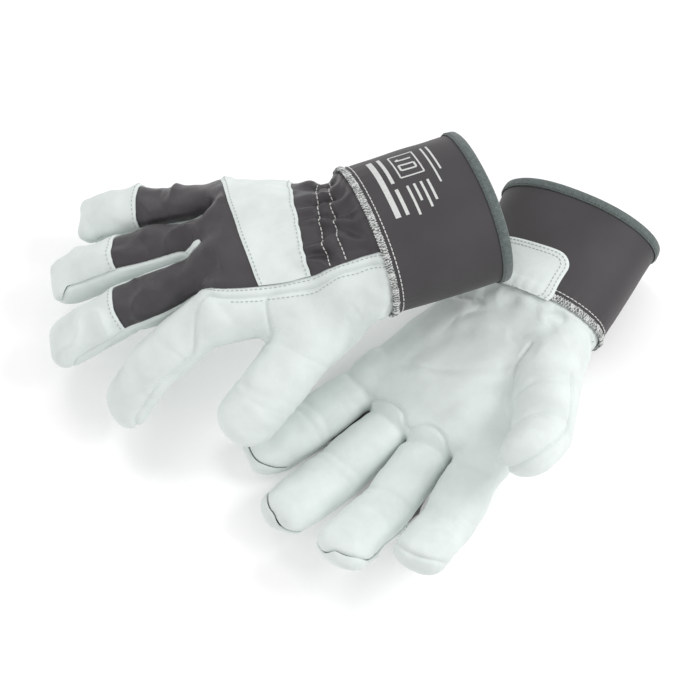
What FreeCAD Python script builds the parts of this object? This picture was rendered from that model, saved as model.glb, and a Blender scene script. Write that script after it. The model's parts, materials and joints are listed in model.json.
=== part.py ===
import FreeCAD, Part
import math
import os

# A pair of stuffed leather rigger gloves with safety cuffs.  The left glove lies on its back, palm up,
# and the right glove rests on it, palm down.  Millimetres; +Z is up from the surface they lie on.
#
# Each glove has its own hand frame: the origin is the middle of the wrist seam, +X runs to the
# fingers, +Z comes out of the back of the hand, and the thumb is at side * Y.

Vector = FreeCAD.Vector
Placement = FreeCAD.Placement
Rotation = FreeCAD.Rotation

# --- materials' thickness -------------------------------------------------------------------------
LEATHER = 1.3           # split and grain leather panels
LINING = 0.9            # fleece inside the palm
CUFF_WALL = 1.7         # rubberised canvas of the safety cuff
LAYER_GAP = 0.1         # between two layers that lie on each other

# --- hand ----------------------------------------------------------------------------------------
CROTCH_X = 105.0        # from the wrist seam to the finger crotches
STRAP_BACK_X = 36.0     # edges of the leather strap over the knuckles
STRAP_FRONT_X = 78.0
ELASTIC_X = 15.0        # the elastic tape that gathers the wrist
ELASTIC_WIDTH = 8.0
SEAM_Z = 4.0            # height of the side seams: the palm leather wraps round the sides
# x, centre y (towards the thumb), centre z, half width, half thickness
HAND_SECTIONS = [
    (-5.0, 0.0, 0.0, 40.0, 24.5),
    (16.0, 0.0, 0.0, 39.0, 24.0),
    (45.0, 1.0, -1.0, 46.0, 26.0),
    (80.0, 0.5, -1.0, 53.0, 24.0),
    (CROTCH_X, 0.0, -2.0, 55.5, 17.5),
    (126.0, 0.0, -3.0, 57.0, 14.0),
]

# --- fingers: hinge x, y, z; lengths of the two segments; half width ------------------------------
FINGERS = {
    "index": dict(x=99.0, y=41.6, z=-3.0, base=36.0, tip=42.0, half_width=14.3),
    "middle": dict(x=106.0, y=12.8, z=-2.0, base=41.0, tip=50.0, half_width=14.1),
    "ring": dict(x=108.0, y=-15.4, z=-2.0, base=40.0, tip=47.0, half_width=13.5),
    "little": dict(x=102.0, y=-42.6, z=-4.0, base=35.0, tip=40.0, half_width=12.6),
}
FINGER_HALF_THICKNESS = 12.2
TIP_START = -8.0        # a fingertip's segment starts this far behind its hinge
DOME = 0.95             # length of the rounded end, as a share of the half thickness
DOME_SHARES = (0.0, 0.4, 0.65, 0.82, 0.93, 0.985)
BLUNTNESS = 2.4         # 2 is a round end; more is blunter

# --- thumb: root in the hand frame, lengths of the fixed root and the two moving segments ---------
THUMB_ROOT = (27.0, 36.0, -15.0)
THUMB_ROOT_LENGTH = 30.0
THUMB_BASE_LENGTH = 26.0
THUMB_TIP_LENGTH = 31.0
THUMB_HALF_WIDTH = 17.0
THUMB_HALF_THICKNESS = 14.5
THUMB_ROLL = 35.0       # the thumb bends towards the middle of the palm

# --- safety cuff ----------------------------------------------------------------------------------
CUFF_LENGTH = 67.0
BINDING_WIDTH = 7.0
BINDING_WALL = 1.3
WELT_WIDTH = 5.0
PATCH_LENGTH = 26.0     # the pulse patch on the cuff's palm side
PATCH_WIDTH = 56.0
PATCH_OFFSET = -14.0    # its middle, from the cuff's middle towards the little finger

# --- bending limits in degrees, counted from a straight finger -----------------------------------
FINGER_BASE_RANGE = (-8.0, 70.0)
FINGER_MIDDLE_RANGE = (-5.0, 80.0)
THUMB_BASE_RANGE = (-8.0, 40.0)
THUMB_TIP_RANGE = (-5.0, 60.0)
HINGE_GAP = 0.4         # half the gap between two segments on the hinge line
HINGE_SLACK = 1.5       # degrees of room past each limit

# --- how the two gloves lie ----------------------------------------------------------------------
# wrist: middle of the wrist seam.  heading: where the cuff lies, seen from above.
# nose_down: slope of the hand towards the fingers.  cuff_yaw: the cuff leans to the little finger.
# cuff_pitch: the cuff against the hand.  bend: each digit's two joints at rest.
GLOVES = {
    "right": dict(
        side=1, wrist=(10.0, 27.0, 91.0), heading=1.5, nose_down=11.0, roll=8.0,
        cuff_yaw=21.0, cuff_pitch=-10.0, cuff_wrist=(47.5, 33.0), cuff_rim=(47.5, 35.0),
        bend=dict(index=(26, 20), middle=(12, 12), ring=(9, 10), little=(5, 8), thumb=(4, 10)),
        splay=dict(index=23, middle=10.6, ring=2.6, little=-5.3, thumb=48), thumb_down=12.0,
    ),
    "left": dict(
        side=-1, wrist=(107.0, 12.0, 31.5), heading=47.5, nose_down=5.0, roll=187.0,
        cuff_yaw=15.0, cuff_pitch=3.5, cuff_wrist=(45.0, 30.0), cuff_rim=(50.0, 31.0),
        bend=dict(index=(8, 30), middle=(4, 26), ring=(1, 14), little=(-1, 8), thumb=(6, 22)),
        splay=dict(index=16, middle=7, ring=-4.6, little=-13.5, thumb=40), thumb_down=22.0,
    ),
}
FLOOR = 0.0
FAR = 600.0             # larger than the pair in every direction


def ellipse(x, y, z, half_width, half_thickness):
    """A closed elliptical wire across the X axis."""
    centre = Vector(x, y, z)
    curve = Part.Ellipse(
        centre + Vector(0, half_width, 0), centre + Vector(0, 0, half_thickness), centre
    )
    return Part.Wire(curve.toShape())


def loft(sections, inset=0.0, overrun=0.0):
    """A smooth solid through the sections, made smaller by inset and longer by overrun at both ends."""
    wires = []
    last = len(sections) - 1
    for i, (x, y, z, w, t) in enumerate(sections):
        shift = -overrun if i == 0 else overrun if i == last else 0.0
        wires.append(ellipse(x + shift, y, z, w - inset, t - inset))
    return Part.makeLoft(wires, True, False)


def block(x0, x1, y0, y1, z0, z1):
    """A box between two corners."""
    return Part.makeBox(x1 - x0, y1 - y0, z1 - z0, Vector(x0, y0, z0))


def prism(points, half_width):
    """A prism along Y with a polygon of (x, z) points as its profile."""
    loop = [Vector(x, -half_width, z) for x, z in points]
    face = Part.Face(Part.makePolygon(loop + loop[:1]))
    return face.extrude(Vector(0, 2 * half_width, 0))


def leans(limits):
    """Slope of the hinge faces above and below the hinge, from the bending limits."""
    above = math.tan(math.radians(-limits[0] / 2 + HINGE_SLACK))
    below = math.tan(math.radians(limits[1] / 2 + HINGE_SLACK))
    return above, below


def ahead_of_hinge(limits, half_width=FAR):
    """The space a segment may fill in front of its own hinge, at the origin."""
    above, below = leans(limits)
    return prism(
        [(HINGE_GAP, 0), (HINGE_GAP + FAR * above, FAR), (FAR * 3, FAR), (FAR * 3, -FAR),
         (HINGE_GAP + FAR * below, -FAR)],
        half_width,
    )


def taken_by_hinge(limits, half_width):
    """The space in front of a hinge that the parent must leave free."""
    above, below = leans(limits)
    reach = 60.0
    return prism(
        [(-HINGE_GAP, 0), (-HINGE_GAP - reach * above, reach), (reach * 3, reach),
         (reach * 3, -reach), (-HINGE_GAP - reach * below, -reach)],
        half_width,
    )


def behind_hinge(limits, x):
    """The space a segment may fill behind the next hinge, at distance x."""
    above, below = leans(limits)
    shape = prism(
        [(-HINGE_GAP, 0), (-HINGE_GAP - FAR * above, FAR), (-FAR * 3, FAR), (-FAR * 3, -FAR),
         (-HINGE_GAP - FAR * below, -FAR)],
        FAR,
    )
    return shape.translated(Vector(x, 0, 0))


def straight_sections(length, width, thickness, taper):
    """Sections of a segment that runs on to another one."""
    return [
        (-8.0, 0, 0, width, thickness),
        (length / 2, 0, 0, width * (1 + taper) / 2, thickness * (1 + taper) / 2),
        (length + 4.0, 0, 0, width * taper, thickness * taper),
    ]


def tip_sections(length, width, thickness, inset=0.0):
    """Sections of a closed fingertip, shrunk by inset."""
    w, t, end = width - inset, thickness - inset, length - inset
    dome = t * DOME
    sections = [(TIP_START, 0, 0, w, t)]
    for share in DOME_SHARES:
        size = (1 - share**BLUNTNESS) ** (1 / BLUNTNESS)
        sections.append((end - dome + dome * share, 0, 0, w * size, t * size))
    return sections


def fingertip(length, width, thickness):
    """A hollow fingertip with a blunt closed end, open behind."""
    outer = Part.makeLoft([ellipse(*s) for s in tip_sections(length, width, thickness)], True, True)
    inner_sections = tip_sections(length, width, thickness, LEATHER)
    inner = Part.makeLoft([ellipse(*s) for s in inner_sections], True, True)
    rear = block(-FAR, TIP_START + 0.1, -FAR, FAR, -FAR, FAR)
    return outer.cut(inner.fuse(rear))


def place(shape, placement):
    moved = shape.copy()
    moved.Placement = placement.multiply(moved.Placement)
    return moved


def turn(axis, degrees):
    return Rotation(Vector(*axis), degrees)


def hand_placement(glove):
    rotation = turn((0, 0, 1), 180 + glove["heading"])
    rotation = rotation * turn((0, 1, 0), glove["nose_down"]) * turn((1, 0, 0), glove["roll"])
    return Placement(Vector(*glove["wrist"]), rotation)


def cuff_placement(glove):
    """The cuff's frame in the hand frame: its +X points to the hand."""
    rotation = turn((0, 0, 1), glove["side"] * glove["cuff_yaw"])
    return Placement(Vector(0, 0, 0), rotation * turn((0, 1, 0), glove["cuff_pitch"]))


def finger_placements(glove, name):
    """Frames of a finger's unbent base hinge, its base segment and its tip, in the hand frame."""
    f = FINGERS[name]
    side = glove["side"]
    unbent = Placement(Vector(f["x"], side * f["y"], f["z"]), turn((0, 0, 1), side * glove["splay"][name]))
    return unbent, *bent_chain(unbent, glove["bend"][name], f["base"])


def thumb_placements(glove):
    """Frames of the thumb's root, its base segment and its tip, in the hand frame."""
    side = glove["side"]
    x, y, z = THUMB_ROOT
    rotation = turn((0, 0, 1), side * glove["splay"]["thumb"]) * turn((0, 1, 0), glove["thumb_down"])
    root = Placement(Vector(x, side * y, z), rotation * turn((1, 0, 0), -side * THUMB_ROLL))
    hinge = root * Placement(Vector(THUMB_ROOT_LENGTH, 0, 0), Rotation())
    return root, *bent_chain(hinge, glove["bend"]["thumb"], THUMB_BASE_LENGTH)


def bent_chain(unbent, bend, base_length):
    base = unbent * Placement(Vector(0, 0, 0), turn((0, 1, 0), bend[0]))
    tip = base * Placement(Vector(base_length, 0, 0), turn((0, 1, 0), bend[1]))
    return base, tip


def halves(shape, seam):
    """The palm side and the back of a shape, parted at the height of the seam."""
    front = shape.common(block(-FAR, FAR, -FAR, FAR, -FAR, seam))
    back = shape.common(block(-FAR, FAR, -FAR, FAR, seam, FAR))
    return front, back


def finger_parts(glove, name):
    """Front and back of a finger's base segment and of its tip."""
    f = FINGERS[name]
    _, base, tip = finger_placements(glove, name)
    seam = FINGER_HALF_THICKNESS * 0.3
    sections = straight_sections(f["base"], f["half_width"], FINGER_HALF_THICKNESS, 0.95)
    tube = loft(sections).cut(loft(sections, LEATHER, 1.0))
    tube = tube.common(ahead_of_hinge(FINGER_BASE_RANGE))
    tube = tube.common(behind_hinge(FINGER_MIDDLE_RANGE, f["base"]))
    w, t = f["half_width"] * 0.95, FINGER_HALF_THICKNESS * 0.95
    end = fingertip(f["tip"], w, t)
    end = end.common(ahead_of_hinge(FINGER_MIDDLE_RANGE))
    base_front, base_back = halves(tube, seam)
    tip_front, tip_back = halves(end, seam)
    last = "tip_back" if name == "index" else "tip_cap"
    return {
        f"{name}_finger_front": place(base_front, base),
        f"{name}_finger_back": place(base_back, base),
        f"{name}_tip_front": place(tip_front, tip),
        f"{name}_{last}": place(tip_back, tip),
    }


def thumb_parts(glove, hand_skin):
    """The thumb's root, which is sewn to the palm, its base segment and its tip."""
    root, base, tip = thumb_placements(glove)
    w, t = THUMB_HALF_WIDTH, THUMB_HALF_THICKNESS
    root_sections = [
        (-4.0, 0, 0, w * 1.25, t * 1.3),
        (THUMB_ROOT_LENGTH / 2, 0, 0, w * 1.12, t * 1.15),
        (THUMB_ROOT_LENGTH + 6.0, 0, 0, w, t),
    ]
    hollow = loft(root_sections, LEATHER, 1.0)
    tube = loft(root_sections).cut(hollow)
    tube = tube.common(behind_hinge(THUMB_BASE_RANGE, THUMB_ROOT_LENGTH))
    tube = place(tube, root).cut(hand_skin)
    pieces = sorted(tube.Solids, key=lambda s: s.Volume)
    base_sections = straight_sections(THUMB_BASE_LENGTH, w, t, 0.96)
    middle = loft(base_sections).cut(loft(base_sections, LEATHER, 1.0))
    middle = middle.common(ahead_of_hinge(THUMB_BASE_RANGE))
    middle = middle.common(behind_hinge(THUMB_TIP_RANGE, THUMB_BASE_LENGTH))
    w, t = w * 0.96, t * 0.96
    end = fingertip(THUMB_TIP_LENGTH, w, t)
    end = end.common(ahead_of_hinge(THUMB_TIP_RANGE))
    parts = {
        "thumb_root": pieces[-1],
        "thumb_base": place(middle, base),
        "thumb_tip": place(end, tip),
    }
    return parts, place(hollow, root)


def hand_parts(glove):
    """The panels of the hand: palm, back, strap, wrist, elastic and lining, and the thumb."""
    side = glove["side"]
    sections = [(x, side * y, z, w, t) for x, y, z, w, t in HAND_SECTIONS]
    free = None
    for name in FINGERS:
        unbent = finger_placements(glove, name)[0]
        space = place(taken_by_hinge(FINGER_BASE_RANGE, FINGERS[name]["half_width"] + 3.5), unbent)
        free = space if free is None else free.fuse(space)
    free = free.fuse(block(CROTCH_X + 4.0, FAR, -FAR, FAR, -FAR, FAR))
    skin = loft(sections, -LAYER_GAP)
    thumb, thumb_hollow = thumb_parts(glove, skin)
    shell = loft(sections).cut(loft(sections, LEATHER, 1.0)).cut(free).cut(thumb_hollow)
    palm, back = halves(shell, SEAM_Z)
    under = LEATHER + LAYER_GAP
    liner = loft(sections, under).cut(loft(sections, under + LINING, 1.0))
    liner = liner.cut(free).cut(thumb_hollow)
    liner, below_back = halves(liner, SEAM_Z)
    parts = {
        "palm_panel": palm,
        "palm_lining": liner.common(block(ELASTIC_X, CROTCH_X, -FAR, FAR, -FAR, FAR)),
        "wrist_fabric": back.common(block(-FAR, STRAP_BACK_X, -FAR, FAR, -FAR, FAR)),
        "knuckle_strap": back.common(block(STRAP_BACK_X, STRAP_FRONT_X, -FAR, FAR, -FAR, FAR)),
        "knuckle_fabric": back.common(block(STRAP_FRONT_X, FAR, -FAR, FAR, -FAR, FAR)),
        "wrist_elastic": below_back.common(
            block(ELASTIC_X, ELASTIC_X + ELASTIC_WIDTH, -FAR, FAR, SEAM_Z + 4.0, FAR)
        ),
    }
    parts = {name: largest(shape) for name, shape in parts.items()}
    parts.update(thumb)
    return parts


def largest(shape):
    return max(shape.Solids, key=lambda s: s.Volume)


def cuff_band(glove, x0, x1, outset, inset):
    """A ring of the flared cuff between two stations, from outset outside to inset inside."""
    (w0, t0), (w1, t1) = glove["cuff_wrist"], glove["cuff_rim"]

    def section(x, grow):
        share = -x / CUFF_LENGTH
        return x, 0, 0, w0 + (w1 - w0) * share + grow, t0 + (t1 - t0) * share + grow

    def sleeve(start, end, grow):
        return loft([section(x, grow) for x in (start, (start + end) / 2, end)])

    return sleeve(x0, x1, outset).cut(sleeve(x0 - 1.0, x1 + 1.0, -inset))


def cuff_parts(glove):
    """The cuff, its lining, the binding round the rim, the welt at the wrist and the pulse patch."""
    side = glove["side"]
    lined = CUFF_WALL + LAYER_GAP + LINING
    shell = cuff_band(glove, -CUFF_LENGTH, -0.2, 0.0, CUFF_WALL)
    lining = cuff_band(glove, -CUFF_LENGTH, -1.0, -CUFF_WALL - LAYER_GAP, lined)
    outer_wall = LAYER_GAP + BINDING_WALL
    rim = -CUFF_LENGTH - LAYER_GAP
    binding = cuff_band(glove, rim - BINDING_WALL, rim + BINDING_WIDTH, outer_wall, lined + outer_wall)
    binding = binding.cut(cuff_band(glove, rim, FAR / 10, LAYER_GAP, lined + LAYER_GAP))
    welt = cuff_band(glove, 0.2, WELT_WIDTH, 0.9, 1.5)
    patch = cuff_band(glove, -PATCH_LENGTH, -0.4, LAYER_GAP + LEATHER, -LAYER_GAP)
    middle = side * PATCH_OFFSET
    window = block(-PATCH_LENGTH, 0, middle - PATCH_WIDTH / 2, middle + PATCH_WIDTH / 2, -FAR, 0)
    corners = [e for e in window.Edges if abs(e.Vertexes[0].X + PATCH_LENGTH) < 1e-6
               and abs(e.Vertexes[1].X + PATCH_LENGTH) < 1e-6
               and abs(e.Vertexes[0].Z - e.Vertexes[1].Z) > 1.0]
    patch = patch.common(window.makeFillet(9.0, corners))
    frame = cuff_placement(glove)
    parts = {
        "cuff_shell": shell,
        "cuff_lining": lining,
        "cuff_binding": binding,
        "wrist_welt": welt,
        "pulse_patch": largest(patch),
    }
    return {name: place(shape, frame) for name, shape in parts.items()}


def glove_parts(side_name):
    """Every piece of one glove, where it lies."""
    glove = GLOVES[side_name]
    local = {}
    local.update(cuff_parts(glove))
    local.update(hand_parts(glove))
    for name in FINGERS:
        local.update(finger_parts(glove, name))
    frame = hand_placement(glove)
    above_floor = block(-FAR, FAR, -FAR, FAR, FLOOR, FAR)
    parts = {}
    for name, shape in local.items():
        placed = place(shape, frame)
        if placed.optimalBoundingBox(False).ZMin < FLOOR + 0.01:
            placed = placed.common(above_floor)
        parts[f"{side_name}_{name}"] = placed
    return parts


def centred(parts):
    """The parts moved along the floor so that the middle of the pair is over the origin."""
    box = FreeCAD.BoundBox()
    for shape in parts.values():
        box.add(shape.optimalBoundingBox(False))
    shift = Vector(-box.Center.x, -box.Center.y, 0)
    return {name: shape.translated(shift) for name, shape in parts.items()}, shift


def main():
    os.makedirs("parts", exist_ok=True)
    parts = {}
    for side_name in GLOVES:
        parts.update(glove_parts(side_name))
    parts, _ = centred(parts)
    for name, shape in parts.items():
        if not shape.isValid() or not shape.Solids:
            raise RuntimeError(f"{name} is not a valid solid")
        shape.exportStep(os.path.join("parts", name + ".step"))


if __name__ == "__main__":
    main()
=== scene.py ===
import bpy
import json
import math
import numpy as np
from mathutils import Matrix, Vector
from mathutils.kdtree import KDTree

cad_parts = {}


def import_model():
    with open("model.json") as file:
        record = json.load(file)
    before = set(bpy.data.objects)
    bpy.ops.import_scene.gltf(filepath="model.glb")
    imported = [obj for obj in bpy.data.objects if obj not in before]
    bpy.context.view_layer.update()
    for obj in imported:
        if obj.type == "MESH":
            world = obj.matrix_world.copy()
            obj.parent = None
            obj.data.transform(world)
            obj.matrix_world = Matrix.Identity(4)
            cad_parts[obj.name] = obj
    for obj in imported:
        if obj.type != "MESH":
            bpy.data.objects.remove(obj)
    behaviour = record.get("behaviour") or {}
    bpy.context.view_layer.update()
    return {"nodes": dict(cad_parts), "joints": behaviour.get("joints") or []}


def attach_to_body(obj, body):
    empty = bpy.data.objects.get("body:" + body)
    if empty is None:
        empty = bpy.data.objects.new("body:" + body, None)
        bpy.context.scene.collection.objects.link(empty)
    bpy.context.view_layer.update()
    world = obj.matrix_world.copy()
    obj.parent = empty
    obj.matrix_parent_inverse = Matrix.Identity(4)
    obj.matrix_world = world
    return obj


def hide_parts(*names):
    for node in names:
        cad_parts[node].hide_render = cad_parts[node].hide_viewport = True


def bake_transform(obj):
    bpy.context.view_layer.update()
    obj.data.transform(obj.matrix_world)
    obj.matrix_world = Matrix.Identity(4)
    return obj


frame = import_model()

# A pair of stuffed work gloves.  Each glove's skin is one closed implicit shape, meshed, draped as cloth,
# then cut along its seams into sewn panels with their own thickness, edges and stitches.
# Lengths are millimetres until a mesh is made.  A glove's own axes: +X to the fingers, +Y to the thumb
# side, +Z out of the back of the hand; the left glove is the mirror image.

MM = 0.001
GRID = 2.2              # spacing of the first skin mesh
SKIN_SPACE = ((-28, -75, -75), (212, 125, 36))    # corners of a box that holds a glove's skin
GLOVES = {
    "right": dict(
        side=1, wrist=(10.0, 27.0, 91.0), heading=1.5, nose_down=11.0, roll=8.0,
        cuff_yaw=21.0, cuff_pitch=-10.0, cuff_wrist=(47.5, 33.0), cuff_rim=(47.5, 35.0),
        bend=dict(index=(26, 20), middle=(12, 12), ring=(9, 10), little=(5, 8), thumb=(4, 10)),
        splay=dict(index=23, middle=10.6, ring=2.6, little=-5.3, thumb=48), thumb_down=12.0,
        ends=(94, 98, 91, 104, 102, 103, 92, 96, 90),
    ),
    "left": dict(
        side=-1, wrist=(107.0, 12.0, 31.5), heading=47.5, nose_down=5.0, roll=187.0,
        cuff_yaw=15.0, cuff_pitch=3.5, cuff_wrist=(45.0, 30.0), cuff_rim=(50.0, 31.0),
        bend=dict(index=(8, 30), middle=(4, 26), ring=(1, 14), little=(-1, 8), thumb=(6, 22)),
        splay=dict(index=16, middle=7, ring=-4.6, little=-13.5, thumb=40), thumb_down=22.0,
        ends=(97, 104, 108, 108, 105, 105, 98, 98, 92),
    ),
}
FINGERS = {
    "index": dict(x=99.0, y=41.6, z=-3.0, base=36.0, tip=42.0, half_width=14.3),
    "middle": dict(x=106.0, y=12.8, z=-2.0, base=41.0, tip=50.0, half_width=14.1),
    "ring": dict(x=108.0, y=-15.4, z=-2.0, base=40.0, tip=47.0, half_width=13.5),
    "little": dict(x=102.0, y=-42.6, z=-4.0, base=35.0, tip=40.0, half_width=12.6),
}
NAMES = list(FINGERS)
FINGER_THICK = 12.2
THUMB_ROOT = (27.0, 36.0, -15.0)
THUMB_LENGTHS = (30.0, 26.0, 31.0)
THUMB_WIDTH, THUMB_THICK, THUMB_ROLL = 17.0, 14.5, 35.0
CUFF_LENGTH = 67.0
ELASTIC = 22.0          # middle of the elastic that gathers the wrist
STITCH_GAP = 3.6        # from the middle of the elastic to each row of stitches along it
STRAP_BACK = (45.5, 31.0)     # the strap's edge at the wrist, at its two ends
STRAP_FRONT = (86.0, 60.0)    # the strap's edge at the fingers, at its two ends
FABRIC_STARTS = 78.0    # where the fabric ahead of the strap begins to fold
HINGES = {j["name"]: np.array(j["pos_m"]) / MM for j in frame["joints"] if j["type"] == "hinge"}


def rot(axis, degrees):
    a = math.radians(degrees)
    c, s = math.cos(a), math.sin(a)
    if axis == "x":
        return np.array([[1, 0, 0], [0, c, -s], [0, s, c]])
    if axis == "y":
        return np.array([[c, 0, s], [0, 1, 0], [-s, 0, c]])
    return np.array([[c, -s, 0], [s, c, 0], [0, 0, 1]])


def unit(vectors):
    """The vectors at length one."""
    return vectors / np.maximum(np.linalg.norm(vectors, axis=-1, keepdims=True), 1e-9)


class Place:
    """An origin and axes; local() and world() move points in and out of it."""

    def __init__(self, origin, axes):
        self.o, self.r = np.array(origin, float), axes

    def local(self, p):
        return (p - self.o) @ self.r

    def world(self, q):
        return q @ self.r.T + self.o

    def step(self, offset, axes):
        return Place(self.world(np.array(offset, float)), self.r @ axes)


def smooth(a, b, x):
    t = np.clip((x - a) / (b - a), 0, 1)
    return t * t * (3 - 2 * t)


def soft_min(a, b, k):
    h = np.maximum(k - np.abs(a - b), 0) / k
    return np.minimum(a, b) - h * h * k / 4


def soft_max(a, b, k):
    return -soft_min(-a, -b, k)


def curve(x, xs, ys):
    """A smooth curve through the points, held level past both ends."""
    xs, ys = np.array(xs, float), np.array(ys, float)
    m = np.gradient(ys, xs)
    m[0] = m[-1] = 0
    i = np.clip(np.searchsorted(xs, x) - 1, 0, len(xs) - 2)
    h = xs[i + 1] - xs[i]
    t = np.clip((x - xs[i]) / h, 0, 1)
    a, b = ys[i], ys[i + 1]
    return (
        a * (2 * t**3 - 3 * t**2 + 1) + b * (3 * t**2 - 2 * t**3)
        + m[i] * h * (t**3 - 2 * t**2 + t) + m[i + 1] * h * (t**3 - t**2)
    )


def tube(y, z, w, t, power):
    g = (np.abs(y / w) ** power + np.abs(z / t) ** power) ** (1 / power)
    return (g - 1) * np.minimum(w, t)


def capped(q, length, w, t, blunt, power):
    """A tube along +X with a blunt closed end."""
    past = np.maximum(q[:, 0] - (length - blunt), 0) / blunt
    g = (np.abs(q[:, 1] / w) ** power + np.abs(q[:, 2] / t) ** power + past**2.7) ** (1 / power)
    return (g - 1) * np.minimum(w, t)


class Hand:
    """One glove's joints in its own axes, and the implicit shape of its skin."""

    def __init__(self, name):
        g = GLOVES[name]
        self.name, self.g, self.side = name, g, g["side"]
        axes = rot("z", 180 + g["heading"]) @ rot("y", g["nose_down"]) @ rot("x", g["roll"])
        self.place = Place(HINGES[name + "_wrist"], axes)
        home = Place((0, 0, 0), np.eye(3))
        self.cuff = home.step((0, 0, 0), rot("z", g["cuff_yaw"]) @ rot("y", g["cuff_pitch"]))
        self.base, self.tip = {}, {}
        for f, d in FINGERS.items():
            b0, b1 = g["bend"][f]
            at = home.step((d["x"], d["y"], d["z"]), rot("z", g["splay"][f]) @ rot("y", b0))
            self.base[f] = at
            self.tip[f] = at.step((d["base"], 0, 0), rot("y", b1))
        turn = rot("z", g["splay"]["thumb"]) @ rot("y", g["thumb_down"]) @ rot("x", -THUMB_ROLL)
        self.root = home.step(THUMB_ROOT, turn)
        b0, b1 = g["bend"]["thumb"]
        self.base["thumb"] = self.root.step((THUMB_LENGTHS[0], 0, 0), rot("y", b0))
        self.tip["thumb"] = self.base["thumb"].step((THUMB_LENGTHS[1], 0, 0), rot("y", b1))
        self.lengths = {f: (d["base"], d["tip"]) for f, d in FINGERS.items()}
        self.lengths["thumb"] = THUMB_LENGTHS[1:]
        self.webs = []
        for a, b in zip(NAMES[:-1], NAMES[1:]):
            pa, pb = self.base[a], self.base[b]
            angle = math.radians((g["splay"][a] + g["splay"][b]) / 2)
            wa, wb = FINGERS[a]["half_width"], FINGERS[b]["half_width"]
            c = pa.o + (pb.o - pa.o) * wa / (wa + wb)
            self.webs.append((a, b, c, np.array([-math.sin(angle), math.cos(angle), 0])))
        for f, at in self.base.items():
            gap = np.abs(self.to_world(at.o) - HINGES[f"{name}_{f}_knuckle"]).max()
            if gap > 0.5:
                raise RuntimeError(f"the {name} {f} knuckle is {gap:.2f} mm off the frame's hinge")

    def to_world(self, p):
        q = np.array(p, float) * np.array([1, self.side, 1])
        return self.place.world(q)

    def hand_coordinates(self, p):
        """Coordinates that follow the cuff at the wrist seam and the hand from the elastic on."""
        s = smooth(0, 34, p[:, 0])[:, None]
        return self.cuff.local(p) * (1 - s) + p * s

    def palm_shape(self, p):
        q = self.hand_coordinates(p)
        cw, ct = self.g["cuff_wrist"]
        xs = [-12, 4.5, 13, ELASTIC, 34, 45, 68, 84, 100, 112]
        widths = [cw - 1.6, cw - 1.6, cw * 0.4 + 25.2, 41.2, 43.8, 46.5, 50.5, 52.5, 54.5, 55.5]
        thicks = [ct - 1.6, ct - 1.8, ct * 0.4 + 15.0, 25.2, 25.8, 25.5, 25.0, 23.0, 17.0, 13.5]
        middle = curve(q[:, 0], xs, [0, 0, 0, 0, -0.4, -0.8, -1, -1, -2, -2.6])
        w, t = curve(q[:, 0], xs, widths), curve(q[:, 0], xs, thicks)
        d = tube(q[:, 1], q[:, 2] - middle, w, t, 2.25)
        end = curve(q[:, 1], [-60, -43, -29, -15, -1, 13, 27, 42, 60], self.g["ends"])
        return soft_max(d, q[:, 0] - end, 9)

    def finger_coordinates(self, f, p):
        """Coordinates along a bent finger or thumb: x runs on from the base segment into the tip."""
        q, length = self.base[f].local(p), self.lengths[f][0]
        reach = 11 if f != "thumb" else 9
        s = smooth(length - reach, length + reach, q[:, 0])[:, None]
        return q * (1 - s) + (self.tip[f].local(p) + np.array([length, 0, 0])) * s

    def finger_shape(self, f, p):
        d = FINGERS[f]
        w, t, length = d["half_width"], FINGER_THICK, d["base"] + d["tip"]
        q = self.finger_coordinates(f, p)
        xs = [-18, 2, 16, d["base"], d["base"] + 10, length - 14, length]
        w1 = curve(q[:, 0], xs, [w * k for k in (1.0, 0.98, 1.07, 1.05, 1.05, 1.04, 0.99)])
        t1 = curve(q[:, 0], xs, [t * k for k in (1.0, 1.0, 1.0, 0.98, 0.96, 0.88, 0.72)])
        out = soft_max(capped(q, length + 0.5, w1, t1, 10.0, 2.2), -18 - q[:, 0], 3)
        for fa, fb, c, n in self.webs:
            if f == fa:
                out = soft_max(out, 1.4 - (p - c) @ n, 3)
            if f == fb:
                out = soft_max(out, 1.4 + (p - c) @ n, 3)
        return out

    def thumb_shape(self, p):
        w, t = THUMB_WIDTH, THUMB_THICK
        q, f = self.root.local(p), self.finger_coordinates("thumb", p)
        first, length = THUMB_LENGTHS[0], sum(THUMB_LENGTHS)
        s = smooth(first - 9, first + 9, q[:, 0])[:, None]
        q = q * (1 - s) + (f + np.array([first, 0, 0])) * s
        xs = [-14, 6, 32, 56, length - 13, length]
        w1 = curve(q[:, 0], xs, [w * k for k in (1.25, 1.17, 1.0, 0.99, 0.95, 0.88)])
        t1 = curve(q[:, 0], xs, [t * k for k in (1.25, 1.2, 1.02, 0.99, 0.94, 0.86)])
        return soft_max(capped(q, length + 0.5, w1, t1, 13.0, 2.15), -16 - q[:, 0], 14)

    def shape(self, p):
        d = self.palm_shape(p)
        for f in NAMES:
            d = soft_min(d, self.finger_shape(f, p), 5)
        return soft_min(d, self.thumb_shape(p), 9)


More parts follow.
